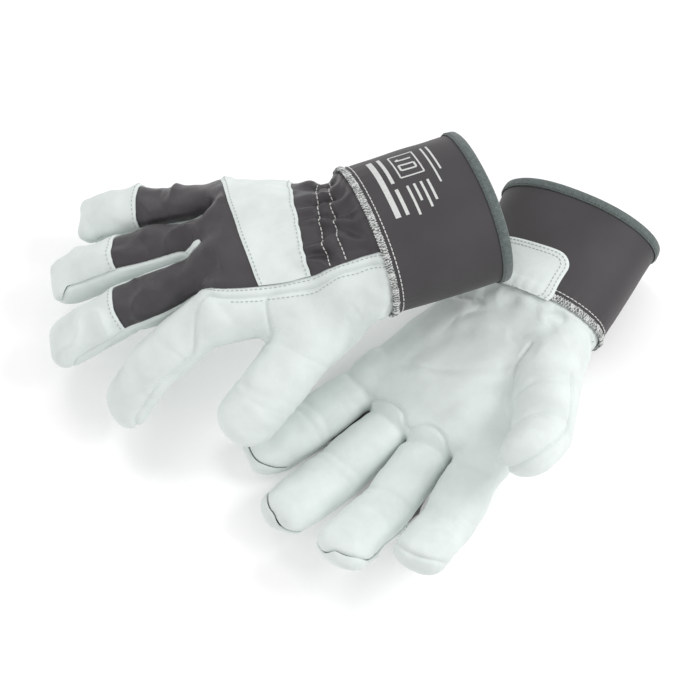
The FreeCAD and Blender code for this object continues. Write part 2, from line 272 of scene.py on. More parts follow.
def surface_net(field, lo, hi, step):
    """Quads on the zero surface of a field, one vertex in each grid cell it crosses."""
    axes = [np.arange(lo[i], hi[i] + step, step) for i in range(3)]
    n = [len(a) for a in axes]
    g = np.stack(np.meshgrid(*axes, indexing="ij"), -1).reshape(-1, 3)
    v = np.concatenate([field(part) for part in np.array_split(g, 12)]).reshape(n)
    inside = v < 0
    total = np.zeros([k - 1 for k in n] + [3])
    count = np.zeros([k - 1 for k in n])
    cell = np.stack(np.meshgrid(*[np.arange(k - 1) for k in n], indexing="ij"), -1).astype(float)
    corners = [np.array([i, j, k]) for i in (0, 1) for j in (0, 1) for k in (0, 1)]

    def at(arr, c):
        return arr[c[0]:c[0] + n[0] - 1, c[1]:c[1] + n[1] - 1, c[2]:c[2] + n[2] - 1]

    for c in corners:
        for axis in range(3):
            if c[axis]:
                continue
            e = c.copy()
            e[axis] = 1
            va, vb = at(v, c), at(v, e)
            cross = (va < 0) != (vb < 0)
            t = np.where(cross, va / np.where(cross, va - vb, 1), 0)
            point = cell + c
            point[..., axis] += t
            total += np.where(cross[..., None], point, 0)
            count += cross
    used = count > 0
    index = -np.ones(used.shape, int)
    index[used] = np.arange(used.sum())
    points = total[used] / count[used][:, None] * step + np.array(lo)
    quads = []
    for axis in range(3):
        b, c = (axis + 1) % 3, (axis + 2) % 3
        low = [slice(None)] * 3
        high = [slice(None)] * 3
        low[axis], high[axis] = slice(0, n[axis] - 1), slice(1, n[axis])
        sa, sb = inside[tuple(low)], inside[tuple(high)]
        pos = np.argwhere(sa != sb)
        keep = (pos[:, b] > 0) & (pos[:, c] > 0) & (pos[:, b] < n[b] - 1) & (pos[:, c] < n[c] - 1)
        pos = pos[keep]
        flip = sa[tuple(pos.T)]
        ring = []
        for db, dc in ((0, 0), (1, 0), (1, 1), (0, 1)):
            q = pos.copy()
            q[:, b] -= 1 - db
            q[:, c] -= 1 - dc
            ring.append(index[tuple(q.T)])
        quad = np.stack(ring, 1)
        quad[~flip] = quad[~flip][:, ::-1]
        quads.append(quad)
    quads = np.concatenate(quads)
    return points, quads[(quads >= 0).all(1)]


def to_surface(field, p):
    """The points moved onto the zero surface of a field, along its gradient."""
    e = 0.4
    for _ in range(2):
        g = np.stack([field(p + d) - field(p - d) for d in np.eye(3) * e], 1) / (2 * e)
        p = p - g * (field(p) / np.maximum((g * g).sum(1), 1e-3))[:, None]
    return p


# --- noise ---------------------------------------------------------------------------------------
def noise(p, size, seed):
    """Smooth value noise in -1..1 with features of the given size."""
    q = p / size + seed * 17.31
    i = np.floor(q).astype(np.int64)
    f = q - i
    f = f * f * (3 - 2 * f)
    total = np.zeros(len(p))
    for dx in (0, 1):
        for dy in (0, 1):
            for dz in (0, 1):
                key = (i[:, 0] + dx) * 73856093 ^ (i[:, 1] + dy) * 19349663 ^ (i[:, 2] + dz) * 83492791
                key = (key ^ (key >> 13)) * 1274126177 & 0x7FFFFFFF
                value = (key ^ (key >> 16)) % 65536 / 32768 - 1
                wx = f[:, 0] if dx else 1 - f[:, 0]
                wy = f[:, 1] if dy else 1 - f[:, 1]
                wz = f[:, 2] if dz else 1 - f[:, 2]
                total += value * wx * wy * wz
    return total


def hump(x, middle, width):
    return np.exp(-(((x - middle) / width) ** 2))


# --- meshes --------------------------------------------------------------------------------------
def place_object(name, data):
    thing = bpy.data.objects.new(name, data)
    bpy.context.scene.collection.objects.link(thing)
    return thing


def new_object(name, points, faces):
    """A mesh object; points in millimetres in the row frame."""
    mesh = bpy.data.meshes.new(name)
    mesh.from_pydata((points * MM).tolist(), [], faces.tolist())
    return place_object(name, mesh)


def points_of(mesh):
    co = np.zeros(len(mesh.vertices) * 3, np.float32)
    mesh.vertices.foreach_get("co", co)
    return co.reshape(-1, 3).astype(float) / MM


def refined(points, quads):
    """The quads divided once more into smaller, smoothed quads."""
    thing = new_object("refine", points, quads)
    thing.modifiers.new("sub", "SUBSURF").levels = 1
    graph = bpy.context.evaluated_depsgraph_get()
    mesh = bpy.data.meshes.new_from_object(thing.evaluated_get(graph))
    p = points_of(mesh)
    loops = np.zeros(len(mesh.loops), np.int32)
    mesh.loops.foreach_get("vertex_index", loops)
    bpy.data.meshes.remove(mesh)
    bpy.data.meshes.remove(thing.data)
    return p, loops.reshape(-1, 4)


def normals(points, tris):
    a, b, c = (points[tris[:, i]] for i in range(3))
    face = np.cross(b - a, c - a)
    out = np.zeros_like(points)
    for i in range(3):
        np.add.at(out, tris[:, i], face)
    return unit(out)


def triangle_edges(tris):
    """The three edges of every triangle: first edges, then second, then third."""
    return np.concatenate([tris[:, [0, 1]], tris[:, [1, 2]], tris[:, [2, 0]]])


def halved(quads):
    """Two triangles for each quad."""
    return np.concatenate([quads[:, [0, 1, 2]], quads[:, [0, 2, 3]]])


def grid_triangles(points, up):
    """The points and normals as flat lists, and triangles over their grid that face along the normals."""
    index = np.arange(points[..., 0].size).reshape(points.shape[:2])
    cells = np.stack([index[:-1, :-1], index[1:, :-1], index[1:, 1:], index[:-1, 1:]], -1)
    tris = halved(cells.reshape(-1, 4))
    flat, up = points.reshape(-1, 3), up.reshape(-1, 3)
    a, b, c = flat[tris[0]]
    if np.cross(b - a, c - a) @ up[tris[0, 0]] < 0:
        tris = tris[:, ::-1]
    return flat, up, tris


class Skin:
    """A triangle mesh whose vertices carry values, so that it can be cut along where a value is zero."""

    def __init__(self, values, tris):
        self.v, self.t = values, tris

    def cut(self, name, snap=0.12, where=None):
        f = self.v[name]
        f[np.abs(f) < snap] = 0.0
        s = np.sign(f[self.t])
        mixed = (s.max(1) > 0) & (s.min(1) < 0)
        if where is not None:
            mixed &= where
        if not mixed.any():
            return
        keep, tri, sg = self.t[~mixed], self.t[mixed], s[mixed]
        edges, es = triangle_edges(tri), triangle_edges(sg)
        crossed = es[:, 0] * es[:, 1] < 0
        pair = np.sort(edges[crossed], axis=1)
        unique, inverse = np.unique(pair, axis=0, return_inverse=True)
        a, b = unique[:, 0], unique[:, 1]
        w = f[a] / (f[a] - f[b])
        n = len(f)
        for k, arr in self.v.items():
            ww = w if arr.ndim == 1 else w[:, None]
            self.v[k] = np.concatenate([arr, arr[a] * (1 - ww) + arr[b] * ww])
        self.v[name][n:] = 0.0
        new = -np.ones(len(edges), int)
        new[crossed] = n + inverse.reshape(-1)
        m = new.reshape(3, -1).T
        made = [keep]
        zero = sg == 0
        with_zero = zero.any(1)
        for k in range(3):
            hit = with_zero & zero[:, k]
            i, j = (k + 1) % 3, (k + 2) % 3
            t, mid = tri[hit], m[hit][:, i]
            made.append(np.stack([t[:, k], t[:, i], mid], 1))
            made.append(np.stack([t[:, k], mid, t[:, j]], 1))
        for k in range(3):
            i, j = (k + 1) % 3, (k + 2) % 3
            odd = ~with_zero & (sg[:, k] != sg[:, i]) & (sg[:, k] != sg[:, j])
            t, mk, mj = tri[odd], m[odd][:, k], m[odd][:, j]
            made.append(np.stack([t[:, k], mk, mj], 1))
            made.append(np.stack([mk, t[:, i], t[:, j]], 1))
            made.append(np.stack([mk, t[:, j], mj], 1))
        self.t = np.concatenate(made)

    def at(self, name):
        """A value in the middle of each triangle."""
        return self.v[name][self.t].mean(1)


# --- where the seams and the joints run ------------------------------------------------------------
WRIST_BLEND = (0.0, 15.0)      # a zone's span from the first x to the second, read in attach(), which bakes the piece without any blend
KNUCKLE_BLEND = (1.0, 21.0)
MIDDLE_BLEND = (-12.0, 10.0)
MID_CUT = 14.0          # a finger's skin changes pieces this far before its middle joint
THUMB_CUT = 17.0
HEEL_X = 26.0           # below the hand, seams nearer the wrist than this are pressed flat


def seam_values(hand, p):
    """For each skin point, signed distances (about millimetres) to every seam and joint line."""
    v = {}
    q = hand.hand_coordinates(p)
    v["end"] = hand.cuff.local(p)[:, 0] + 3.0
    wave = 0.5 * noise(p, 14.0, 3)
    across = np.clip((34.0 - q[:, 1]) / 82.0, -0.25, 1.2)
    (b0, b1), (f0, f1) = STRAP_BACK, STRAP_FRONT
    v["wrist"] = q[:, 0] - (b1 + (b0 - b1) * across) + wave
    v["front"] = q[:, 0] - (f1 + (f0 - f1) * across) + wave
    for i, (a, b, c, n) in enumerate(hand.webs):
        v[f"web{i}"] = (p - c) @ n
    edge = curve(p[:, 0], [-12, 5, 36, 60, 80, 95], [27, 29.5, 33, 34, 32.5, 29]) - p[:, 1]
    v["edge"] = edge + (-v["web0"] - edge) * smooth(84, 103, p[:, 0])
    back = soft_min(p[:, 2] - 4.0, v["edge"], 6)
    for f in NAMES:
        q = hand.finger_coordinates(f, p)
        v["knuckle_" + f] = hand.base[f].local(p)[:, 0]
        v["mid_" + f] = q[:, 0] - (hand.lengths[f][0] - MID_CUT)
        v["cap_" + f] = q[:, 0] - (hand.lengths[f][0] - 1.0) + 0.4 * noise(p, 6.0, 5)
        facing = {"ring": q[:, 1], "middle": -q[:, 1]}.get(f, 0 * q[:, 1] - 9)
        end = sum(hand.lengths[f])
        low = 5.6 * smooth(-2, 6, facing) - 7.0 * smooth(end - 16, end - 2, q[:, 0])
        v["side_" + f] = q[:, 2] - 2.5 - low
    region = finger_region(v)
    for k, f in enumerate(NAMES):
        mine = region == k
        s = smooth(-12, 5, v["knuckle_" + f][mine])
        back[mine] = back[mine] * (1 - s) + v["side_" + f][mine] * s
    v["back"] = back
    s = smooth(86, 104, p[:, 0])
    v["band"] = (v["edge"] + 5.5) * (1 - s) + v["side_index"] * s
    low = smooth(-7, -14, p[:, 2]) * (1 - s)
    v["band"] = v["band"] * (1 - low) - 12 * low
    a, b, c, n = hand.webs[1]
    along = np.array([n[1], -n[0], 0])
    u, g = (p - c) @ along, np.abs((p - c) @ n)
    v["strip"] = 2.7 - np.where(u > -9, g, np.hypot(g, u + 9))
    arc = curve(p[:, 1], [-45, -29, -22, -8, -1, 6, 20, 27, 40], [103, 104, 101, 100, 104, 98, 97, 101, 100])
    v["palm_seam"] = p[:, 0] - arc
    others = hand.palm_shape(p)
    for f in NAMES:
        others = np.minimum(others, hand.finger_shape(f, p))
    near = others - hand.thumb_shape(p)
    near = near - 1.0 - 3.5 * smooth(20, -5, hand.base["thumb"].local(p)[:, 0] + 30)
    v["near_thumb"] = near
    side = soft_min(soft_min(57 - p[:, 0], p[:, 2] + 8, 4), -v["band"], 4)
    side = np.where(p[:, 1] > 0, side, -20.0)
    v["thumb"] = soft_max(near, side, 4)
    t = hand.finger_coordinates("thumb", p)
    v["thumb_low"] = t[:, 0] + 2.0
    v["thumb_mid"] = t[:, 0] - THUMB_CUT
    v["thumb_side"] = t[:, 2] - 2.0 + 6 * smooth(10, -20, t[:, 0])
    # the cuff's yaw stretches x on one side of the wrist: this evens it out about the elastic
    stretch = 1 - 0.04 * math.sin(math.radians(hand.g["cuff_yaw"])) * p[:, 1]
    from_elastic = hand.hand_coordinates(p)[:, 0] - ELASTIC
    close = np.clip(from_elastic, -10, 10)
    v["x"] = ELASTIC + close / stretch + from_elastic - close + 0.9 * noise(p, 15.0, 61)
    return v


def finger_region(v):
    return np.where(v["web0"] > 0, 0, np.where(v["web1"] > 0, 1, np.where(v["web2"] > 0, 2, 3)))


PANELS = ["palm", "wrist_fabric", "strap", "fabric", "strip",
          "index_back", "front", "cap", "thumb_outer", "thumb_inner"]


def label(skin):
    """Panel and zone of every triangle.  Zones: wrist, hand, then low and high of each digit."""
    m = {k: skin.at(k) for k in skin.v if skin.v[k].ndim == 1}
    region = finger_region(m)
    pick = lambda key: np.choose(region, [m[key + "_" + f] for f in NAMES])
    in_thumb = (m["near_thumb"] > 0) & (m["thumb_low"] > 0)
    in_finger = (pick("knuckle") > 0) & ~(m["near_thumb"] > 0)
    high = pick("mid") > 0
    zone = np.where(m["wrist"] < 0, 0, 1)
    zone = np.where(in_finger, 2 + region * 2 + high, zone)
    zone = np.where(in_thumb, 10 + (m["thumb_mid"] > 0), zone)
    panel = np.zeros(len(region), int)
    is_thumb = (m["thumb"] > 0) & ~(in_finger & (m["near_thumb"] <= 0))
    is_back = (m["back"] > 0) & ~is_thumb & (m["edge"] > 0) & (region != 0)
    is_back |= (m["back"] > 0) & ~is_thumb & (m["edge"] > 0) & ~in_finger
    rows = [
        (is_back, "fabric"),
        (is_back & (m["front"] < 0) & ~in_finger, "strap"),
        (is_back & (m["wrist"] < 0), "wrist_fabric"),
        (is_back & (m["strip"] > 0) & (m["front"] > 0), "strip"),
        (is_back & in_finger & (pick("cap") > 0), "cap"),
        (~is_back & ~is_thumb & (m["band"] > 0) & (region == 0), "index_back"),
        (~is_back & ~is_thumb & (m["band"] > 0) & (m["edge"] < 0), "index_back"),
    ]
    for mask, name in rows:
        panel[mask] = PANELS.index(name)
    fronts = (panel == 0) & ~is_thumb & (m["palm_seam"] > 0) & ((region == 1) | (region == 2))
    panel[fronts] = PANELS.index("front")
    panel[is_thumb & (m["thumb_side"] > 0)] = PANELS.index("thumb_outer")
    panel[is_thumb & (m["thumb_side"] <= 0)] = PANELS.index("thumb_inner")
    return panel, zone


def sculpt(hand, p, v):
    """Folds, creases and gathers, as a height along the normal."""
    q = hand.hand_coordinates(p)
    x, y, z = q[:, 0], p[:, 1], p[:, 2]
    back = smooth(-2, 6, v["back"]) * smooth(-3, 3, v["edge"])
    h = 1.0 * noise(p, 24.0, 1) + 0.4 * noise(p, 10.0, 2)
    warp = 3.5 * noise(p, 16.0, 7)
    fine = np.sin((y + warp) * 2 * math.pi / 8.0)
    broad = np.sin((y + 2.2 * warp + 0.22 * (x - ELASTIC) * np.sign(y)) * 2 * math.pi / 14.5)
    h += back * hump(x, ELASTIC, 6.0) * 1.1 * fine
    h += back * hump(x, ELASTIC, 14.0) * (2.0 * broad + 0.4)
    h -= back * 1.5 * (hump(v["x"], ELASTIC - STITCH_GAP, 1.5) + hump(v["x"], ELASTIC + STITCH_GAP, 1.5))
    h += back * hump(x, ELASTIC + 12, 8) * 1.6 * noise(p * np.array([0.45, 1, 1]), 9.0, 11)
    h += back * hump(x, ELASTIC - 11, 7) * 1.6 * noise(p * np.array([0.45, 1, 1]), 9.0, 15)
    ahead = smooth(FABRIC_STARTS, FABRIC_STARTS + 6, x) * back
    fold = noise(p * np.array([0.75, 1.0, 0.6]) + 2.0 * noise(p, 22.0, 14)[:, None], 13.0, 12)
    h += ahead * (2.3 * (1 - 2 * np.abs(fold)) * hump(fold, 0, 0.55) + 0.7 * noise(p, 7.0, 13) - 0.4)
    for a, b, c, line in hand.webs:
        across, along = (p - c) @ line, p[:, 0] - c[0]
        valley = ahead * smooth(-26, -4, along) * smooth(14, 2, along)
        h -= valley * 2.2 * hump(across + 2.5 * noise(p, 12.0, 16), 0, 4.5)
        h += valley * 0.9 * (hump(across, 12, 6) + hump(across, -12, 6))
    for f in NAMES:
        d = hand.finger_coordinates(f, p)
        mine = finger_region(v) == NAMES.index(f)
        palm_side = smooth(2, -8, d[:, 2]) * mine * smooth(-12, 0, d[:, 0])
        palm_side = palm_side * (0.4 if f == "index" else 1.0)
        joint = hand.lengths[f][0]
        lean = 0.12 * d[:, 1] + 2.6 * noise(p, 13.0, 21)
        for at, deep in ((1.0, 1.3), (joint - 3, 1.1), (joint + 3.5, 0.8), (joint * 0.5, 0.35)):
            h -= palm_side * deep * 0.75 * hump(d[:, 0] + lean, at, 2.6)
            h += palm_side * deep * 0.4 * hump(d[:, 0] + lean, at + 4.5, 3.0)
        top = smooth(-2, 8, d[:, 2]) * mine * smooth(-6, 6, d[:, 0])
        h += top * 0.5 * hump(d[:, 0] - joint + 0.8 * lean, 0, 5)
        h -= top * 0.45 * hump(d[:, 0] + lean * 1.5, joint * 0.55, 1.8)
        ring = smooth(joint, joint + 12, d[:, 0]) * mine
        h += ring * 0.35 * noise(p, 6.5, 31)
    t = hand.finger_coordinates("thumb", p)
    near = smooth(-1, 3, v["near_thumb"])
    for at, deep in ((-2.0, 1.0), (THUMB_LENGTHS[1] - 1.0, 1.1), (THUMB_LENGTHS[1] + 5.0, 0.6)):
        side = 0.35 + 0.65 * smooth(3, -8, t[:, 2])
        h -= near * side * deep * hump(t[:, 0] + 0.25 * t[:, 1] + 1.6 * noise(p, 10.0, 41), at, 2.0)
    palm = smooth(-4, -12, z) * smooth(20, 34, x) * smooth(1, -4, v["near_thumb"])
    lines = [((34, 22), (62, 4), (88, -34)), ((40, 30), (60, 20), (92, 10)), ((30, -8), (58, -20), (84, -26))]
    for k, pts in enumerate(lines):
        (xa, ya), (xb, yb), (xc, yc) = pts
        along = curve(x, [xa, xb, xc], [ya, yb, yc])
        fade = smooth(xa - 4, xa + 10, x) * smooth(xc + 4, xc - 10, x)
        gap = y - along + 2.0 * noise(p, 15.0, 51 + k)
        h -= palm * fade * 0.45 * hump(gap, 0, 4.0)
        h += palm * fade * 0.5 * hump(gap, 8, 6)
    heel = smooth(0, -10, z) * hump(x, 9, 9)
    h += heel * 0.8 * np.sin((y + warp) * 2 * math.pi / 15)
    return h * (0.1 + 0.9 * smooth(6, 13, v["end"]))


# --- panels with thickness ---------------------------------------------------------------------------
THICK = dict(palm=1.25, front=1.25, cap=1.3, strap=1.3, strip=1.2, index_back=1.25, thumb_outer=1.25,
             thumb_inner=1.25, wrist_fabric=0.8, fabric=0.8)


def edge_rise(panel, d):
    """How far a panel's outside stands off the skin at distance d from its own seams."""
    if panel in ("fabric", "wrist_fabric"):
        return 0.1 - 0.25 * np.exp(-((d / 1.6) ** 2))
    if panel in ("strap", "cap", "strip"):
        return 1.05 - 0.35 * np.exp(-((d / 0.7) ** 2))
    return 0.75 - 1.5 * np.exp(-((d / 1.25) ** 2))


def border(tris):
    """Directed edges that only one triangle has."""
    e = triangle_edges(tris)
    key = np.sort(e, axis=1)
    code = key[:, 0] * (int(tris.max()) + 1) + key[:, 1]
    _, first, count = np.unique(code, return_index=True, return_counts=True)
    return e[first[count == 1]]


def distances(points, targets):
    tree = KDTree(len(targets))
    for i, t in enumerate(targets):
        tree.insert(t, i)
    tree.balance()
    return np.array([tree.find(q)[2] for q in points])


def level_lines(points, nrm, values, tris, level):
    """Chains of (point, normal) along a level of the values on a triangle mesh."""
    f = values - level
    f = np.where(np.abs(f) < 1e-6, 1e-6, f)
    s = f[tris] > 0
    hit = s.any(1) & ~s.all(1)
    t, st = tris[hit], s[hit]
    ends = []
    for i, j in ((0, 1), (1, 2), (2, 0)):
        cross = st[:, i] != st[:, j]
        a, b = np.minimum(t[:, i], t[:, j]), np.maximum(t[:, i], t[:, j])
        ends.append(np.where(cross, a * (len(points) + 1) + b, -1))
    ends = np.stack(ends, 1)
    links = {}
    for row in ends:
        k = [int(e) for e in row if e >= 0]
        if len(k) == 2:
            links.setdefault(k[0], []).append(k[1])
            links.setdefault(k[1], []).append(k[0])
    chains, seen = [], set()
    starts = [k for k in links if len(links[k]) == 1] + list(links)
    for start in starts:
        if start in seen:
            continue
        chain, at = [start], start
        seen.add(start)
        while True:
            onward = [k for k in links[at] if k not in seen]
            if not onward:
                break
            at = onward[0]
            seen.add(at)
            chain.append(at)
        if len(chain) > 3:
            a = np.array([c // (len(points) + 1) for c in chain])
            b = np.array([c % (len(points) + 1) for c in chain])
            w = (f[a] / (f[a] - f[b]))[:, None]
            chains.append((points[a] * (1 - w) + points[b] * w, unit(nrm[a] * (1 - w) + nrm[b] * w)))
    return chains


def thread(chain, normal, pitch, length, radius, rise):
    """Stitches along a line: each is a small bowed rod.  Returns points, normals and quads."""
    step = np.linalg.norm(np.diff(chain, axis=0), axis=1)
    s = np.concatenate([[0], np.cumsum(step)])
    total = s[-1]
    count = int((total - length) / pitch)
    if count < 1:
        return None
    start = (np.arange(count + 1) + 0.5 * (total / pitch - count) * 0.5) * pitch
    start = start[start + length < total]
    if not len(start):
        return None
    stations = np.array([0.0, 0.18, 0.5, 0.82, 1.0])
    lift = np.array([-0.35, 0.75, 1.0, 0.75, -0.35]) * rise
    size = np.array([0.55, 0.95, 1.0, 0.95, 0.55]) * radius
    at = (start[:, None] + stations[None] * length).ravel()
    centre = np.stack([np.interp(at, s, chain[:, k]) for k in range(3)], 1)
    up = unit(np.stack([np.interp(at, s, normal[:, k]) for k in range(3)], 1))
    ahead = np.stack([np.interp(np.minimum(at + 0.4, total), s, chain[:, k]) for k in range(3)], 1)
    back = np.stack([np.interp(np.maximum(at - 0.4, 0), s, chain[:, k]) for k in range(3)], 1)
    side = unit(np.cross(up, unit(ahead - back)))
    m = len(start)
    centre = centre + up * np.tile(lift, m)[:, None]
    r = np.tile(size, m)[:, None]
    ring, out = [], []
    for k in range(6):
        a = k * math.pi / 3
        d = side * math.cos(a) + up * math.sin(a)
        ring.append(centre + d * r)
        out.append(d)
    pts, nrm = np.stack(ring, 1), np.stack(out, 1)
    index = np.arange(m * 30).reshape(m, 5, 6)
    a, b = index[:, :-1], index[:, 1:]
    quads = np.stack([a, np.roll(a, -1, 2), np.roll(b, -1, 2), b], -1).reshape(-1, 4)
    fans = []
    for j, flip in ((0, False), (4, True)):
        e = index[:, j]
        for q in ([0, 1, 2, 3], [3, 4, 5, 0]):
            fans.append(e[:, q[::-1]] if not flip else e[:, q])
    return pts.reshape(-1, 3), nrm.reshape(-1, 3), np.concatenate([quads] + fans)


class Build:
    """Collects faces with normals and materials into one mesh."""

    def __init__(self):
        self.p, self.n, self.f, self.m, self.rest, self.uv = [], [], [], [], [], []
        self.count = 0

    def add(self, points, nrm, faces, material, rest=None, uv=None):
        if not len(faces):
            return
        faces = np.asarray(faces)
        if faces.shape[1] == 3:
            faces = np.concatenate([faces, -np.ones((len(faces), 1), int)], 1)
        self.f.append(np.where(faces >= 0, faces + self.count, -1))
        self.m.append(np.full(len(faces), material))
        self.p.append(points)
        self.n.append(nrm)
        self.rest.append(points if rest is None else rest)
        self.uv.append(np.zeros((len(points), 2)) if uv is None else uv)
        self.count += len(points)

    def sew(self, line, pitch, length, radius, rise, material):
        """Adds a row of stitches along a line of points and normals."""
        stitches = thread(*line, pitch, length, radius, rise)
        if stitches:
            self.add(*stitches, material)

    def object(self, name, hand, materials):
        p, n = np.concatenate(self.p), np.concatenate(self.n)
        f, m = np.concatenate(self.f), np.concatenate(self.m)
        rest, uv = np.concatenate(self.rest), np.concatenate(self.uv)
        if hand.side < 0:
            tri = f[:, 3] < 0
            f = np.where(tri[:, None], f[:, [2, 1, 0, 3]], f[:, ::-1])
        world = hand.to_world(p) * MM
        up = (n * np.array([1, hand.side, 1])) @ hand.place.r.T
        corners = f.ravel()
        corners = corners[corners >= 0]
        sizes = (f >= 0).sum(1)
        mesh = bpy.data.meshes.new(name)
        mesh.vertices.add(len(p))
        mesh.vertices.foreach_set("co", world.astype(np.float32).ravel())
        mesh.loops.add(len(corners))
        mesh.loops.foreach_set("vertex_index", corners.astype(np.int32))
        mesh.polygons.add(len(f))
        starts = np.concatenate([[0], np.cumsum(sizes)[:-1]])
        mesh.polygons.foreach_set("loop_start", starts.astype(np.int32))
        mesh.polygons.foreach_set("loop_total", sizes.astype(np.int32))
        mesh.polygons.foreach_set("material_index", m.astype(np.int32))
        mesh.polygons.foreach_set("use_smooth", np.ones(len(f), bool))
        mesh.update(calc_edges=True)
        mesh.validate()
        for key, values in (("rest", rest), ("weave", np.pad(uv, ((0, 0), (0, 1))))):
            layer = mesh.attributes.new(key, "FLOAT_VECTOR", "POINT")
            layer.data.foreach_set("vector", (values * MM).astype(np.float32).ravel())
        mesh.normals_split_custom_set_from_vertices(up.tolist())
        for material in materials:
            mesh.materials.append(material)
        return place_object(name, mesh)


def add_layer(build, q, nrm, tris, thickness, materials, rest=None, uv=None, inset=None):
    """A closed sheet: its outside, its inside and the rim between them."""
    used, local = np.unique(tris, return_inverse=True)
    local = local.reshape(-1, 3)
    out, up = q[used], nrm[used]
    deep = thickness if inset is None else thickness + inset[used]
    deep = deep if np.ndim(deep) else np.full(len(used), deep)
    inner = out - up * deep[:, None]
    r = None if rest is None else rest[used]
    w = None if uv is None else uv[used]
    build.add(out, up, local, materials[0], r, w)
    build.add(inner, -up, local[:, ::-1], materials[1], r, w)
    rim = border(local)
    if not len(rim):
        return
    a, b = rim[:, 0], rim[:, 1]
    away = unit(np.cross(out[b] - out[a], up[a] + up[b]))
    side = np.zeros_like(out)
    np.add.at(side, a, away)
    np.add.at(side, b, away)
    side = unit(side)
    on = np.unique(rim)
    back = np.full(len(out), -1)
    back[on] = np.arange(len(on))
    k = len(on)
    middle = (out[on] + inner[on]) / 2
    points = np.concatenate([out[on], middle, inner[on]])
    ups = unit(np.concatenate([side[on] * 0.6 + up[on] * 0.8, side[on], side[on] * 0.6 - up[on] * 0.8]))
    ia, ib = back[a], back[b]
    strip = np.stack([ib, ia, ia + k, ib + k], 1)
    quads = np.concatenate([strip, strip + k])
    rr = None if r is None else np.concatenate([r[on]] * 3)
    ww = None if w is None else np.concatenate([w[on]] * 3)
    build.add(points, ups, quads, materials[0], rr, ww)


# --- the skin of one glove -----------------------------------------------------------------------------
CLOTH_SCALE = 10.0      # the cloth is solved ten times life size, where the solver's springs behave best
CLOTH_FRAMES = 22
MAX_SHIFT = 4.0         # how far the cloth may move a point
GROUND = np.array([[-1, -1, 0], [1, -1, 0], [1, 1, 0], [-1, 1, 0]])
ONE_FACE = np.array([[0, 1, 2, 3]])


def drape(hand, points, quads):
    """Lets the skin relax as cloth: puffed a little by its filling, gathered by the elastic, on the floor."""
    world = hand.to_world(points)
    faces = quads[:, ::-1] if hand.side < 0 else quads
    thing = new_object("cloth", world * CLOTH_SCALE, faces)
    x = hand.hand_coordinates(points)[:, 0]
    back = smooth(2, 10, points[:, 2]) * smooth(40, 30, points[:, 1])
    hold = 0.10 + 0.9 * smooth(4, -6, x)
    gather = 0.30 * hump(x, ELASTIC, 6.0) * back
    folds = 0.5 + 0.5 * noise(points, 30.0, 91)
    shrink = np.clip(0.10 + gather * 2.6 - 0.10 * folds, 0, 1)
    for name, values in (("hold", hold), ("shrink", shrink)):
        group = thing.vertex_groups.new(name=name)
        for i, w in enumerate(values):
            group.add([i], float(min(max(w, 0.0), 1.0)), "REPLACE")
    cloth = thing.modifiers.new("cloth", "CLOTH")
    s = cloth.settings
    s.quality = 6
    s.mass = 0.35
    s.air_damping = 6.0
    s.tension_stiffness = s.compression_stiffness = 22.0
    s.shear_stiffness = 12.0
    s.bending_stiffness = 0.6
    s.use_pressure = True
    s.uniform_pressure_force = 1.2
    s.vertex_group_mass = "hold"
    s.pin_stiffness = 1.0
    s.vertex_group_shrink = "shrink"
    s.shrink_min, s.shrink_max = -0.10, 0.30
    s.effector_weights.gravity = 0.25
    cloth.collision_settings.use_self_collision = False
    cloth.point_cache.frame_start, cloth.point_cache.frame_end = 1, CLOTH_FRAMES
    floor = new_object("ground", GROUND * 4.0 / MM, ONE_FACE)
    floor.modifiers.new("hit", "COLLISION")
    floor.collision.thickness_outer = 0.003
    scene = bpy.context.scene
    for frame_number in range(1, CLOTH_FRAMES + 1):
        scene.frame_set(frame_number)
    graph = bpy.context.evaluated_depsgraph_get()
    mesh = bpy.data.meshes.new_from_object(thing.evaluated_get(graph))
    moved = points_of(mesh) / CLOTH_SCALE
    bpy.data.meshes.remove(mesh)
    bpy.data.objects.remove(floor)
    bpy.data.objects.remove(thing)
    scene.frame_set(1)
    out = hand.place.local(moved) * np.array([1, hand.side, 1])
    shift = out - points
    calm = calmed(shift, quads, 14)
    far = smooth(52, 80, x)[:, None]
    shift = shift * (1 - far) + calm * far
    size = np.linalg.norm(shift, axis=1)[:, None]
    loose = smooth(1, 9, hand.cuff.local(points)[:, 0])[:, None]
    shift = shift * (np.tanh(size / MAX_SHIFT) * MAX_SHIFT / np.maximum(size, 1e-9)) * loose
    return points + shift


def calmed(values, quads, rounds):
    """Values on a mesh, each averaged with its neighbours' the given number of times."""
    e = np.concatenate([quads[:, [i, (i + 1) % 4]] for i in range(4)])
    e = np.concatenate([e, e[:, ::-1]])
    count = np.bincount(e[:, 0], minlength=len(values))[:, None]
    for _ in range(rounds):
        total = np.stack([np.bincount(e[:, 0], values[e[:, 1], k], len(values)) for k in range(3)], 1)
        values = 0.4 * values + 0.6 * total / np.maximum(count, 1)
    return values


def tucked(hand, p):
    """The skin held inside the cuff where the welt lies over it."""
    q = hand.cuff.local(p)
    x = np.clip(q[:, 0], -8, 12)
    s = -x / CUFF_LENGTH
    (wa, ta), (wb, tb) = hand.g["cuff_wrist"], hand.g["cuff_rim"]
    w, h = wa + (wb - wa) * s, ta + (tb - ta) * s
    out = cuff_at(hand, x, np.arctan2(q[:, 2] / h, q[:, 1] / w))
    limit = np.hypot(out[:, 1], out[:, 2]) - 2.1 + 14 * smooth(3.0, 12.0, q[:, 0])
    r = np.hypot(q[:, 1], q[:, 2])
    k = np.where(q[:, 0] < 12, np.minimum(soft_min(r, limit, 1.0) / np.maximum(r, 1e-6), 1.0), 1.0)
    return hand.cuff.world(q * np.stack([np.ones(len(k)), k, k], 1))


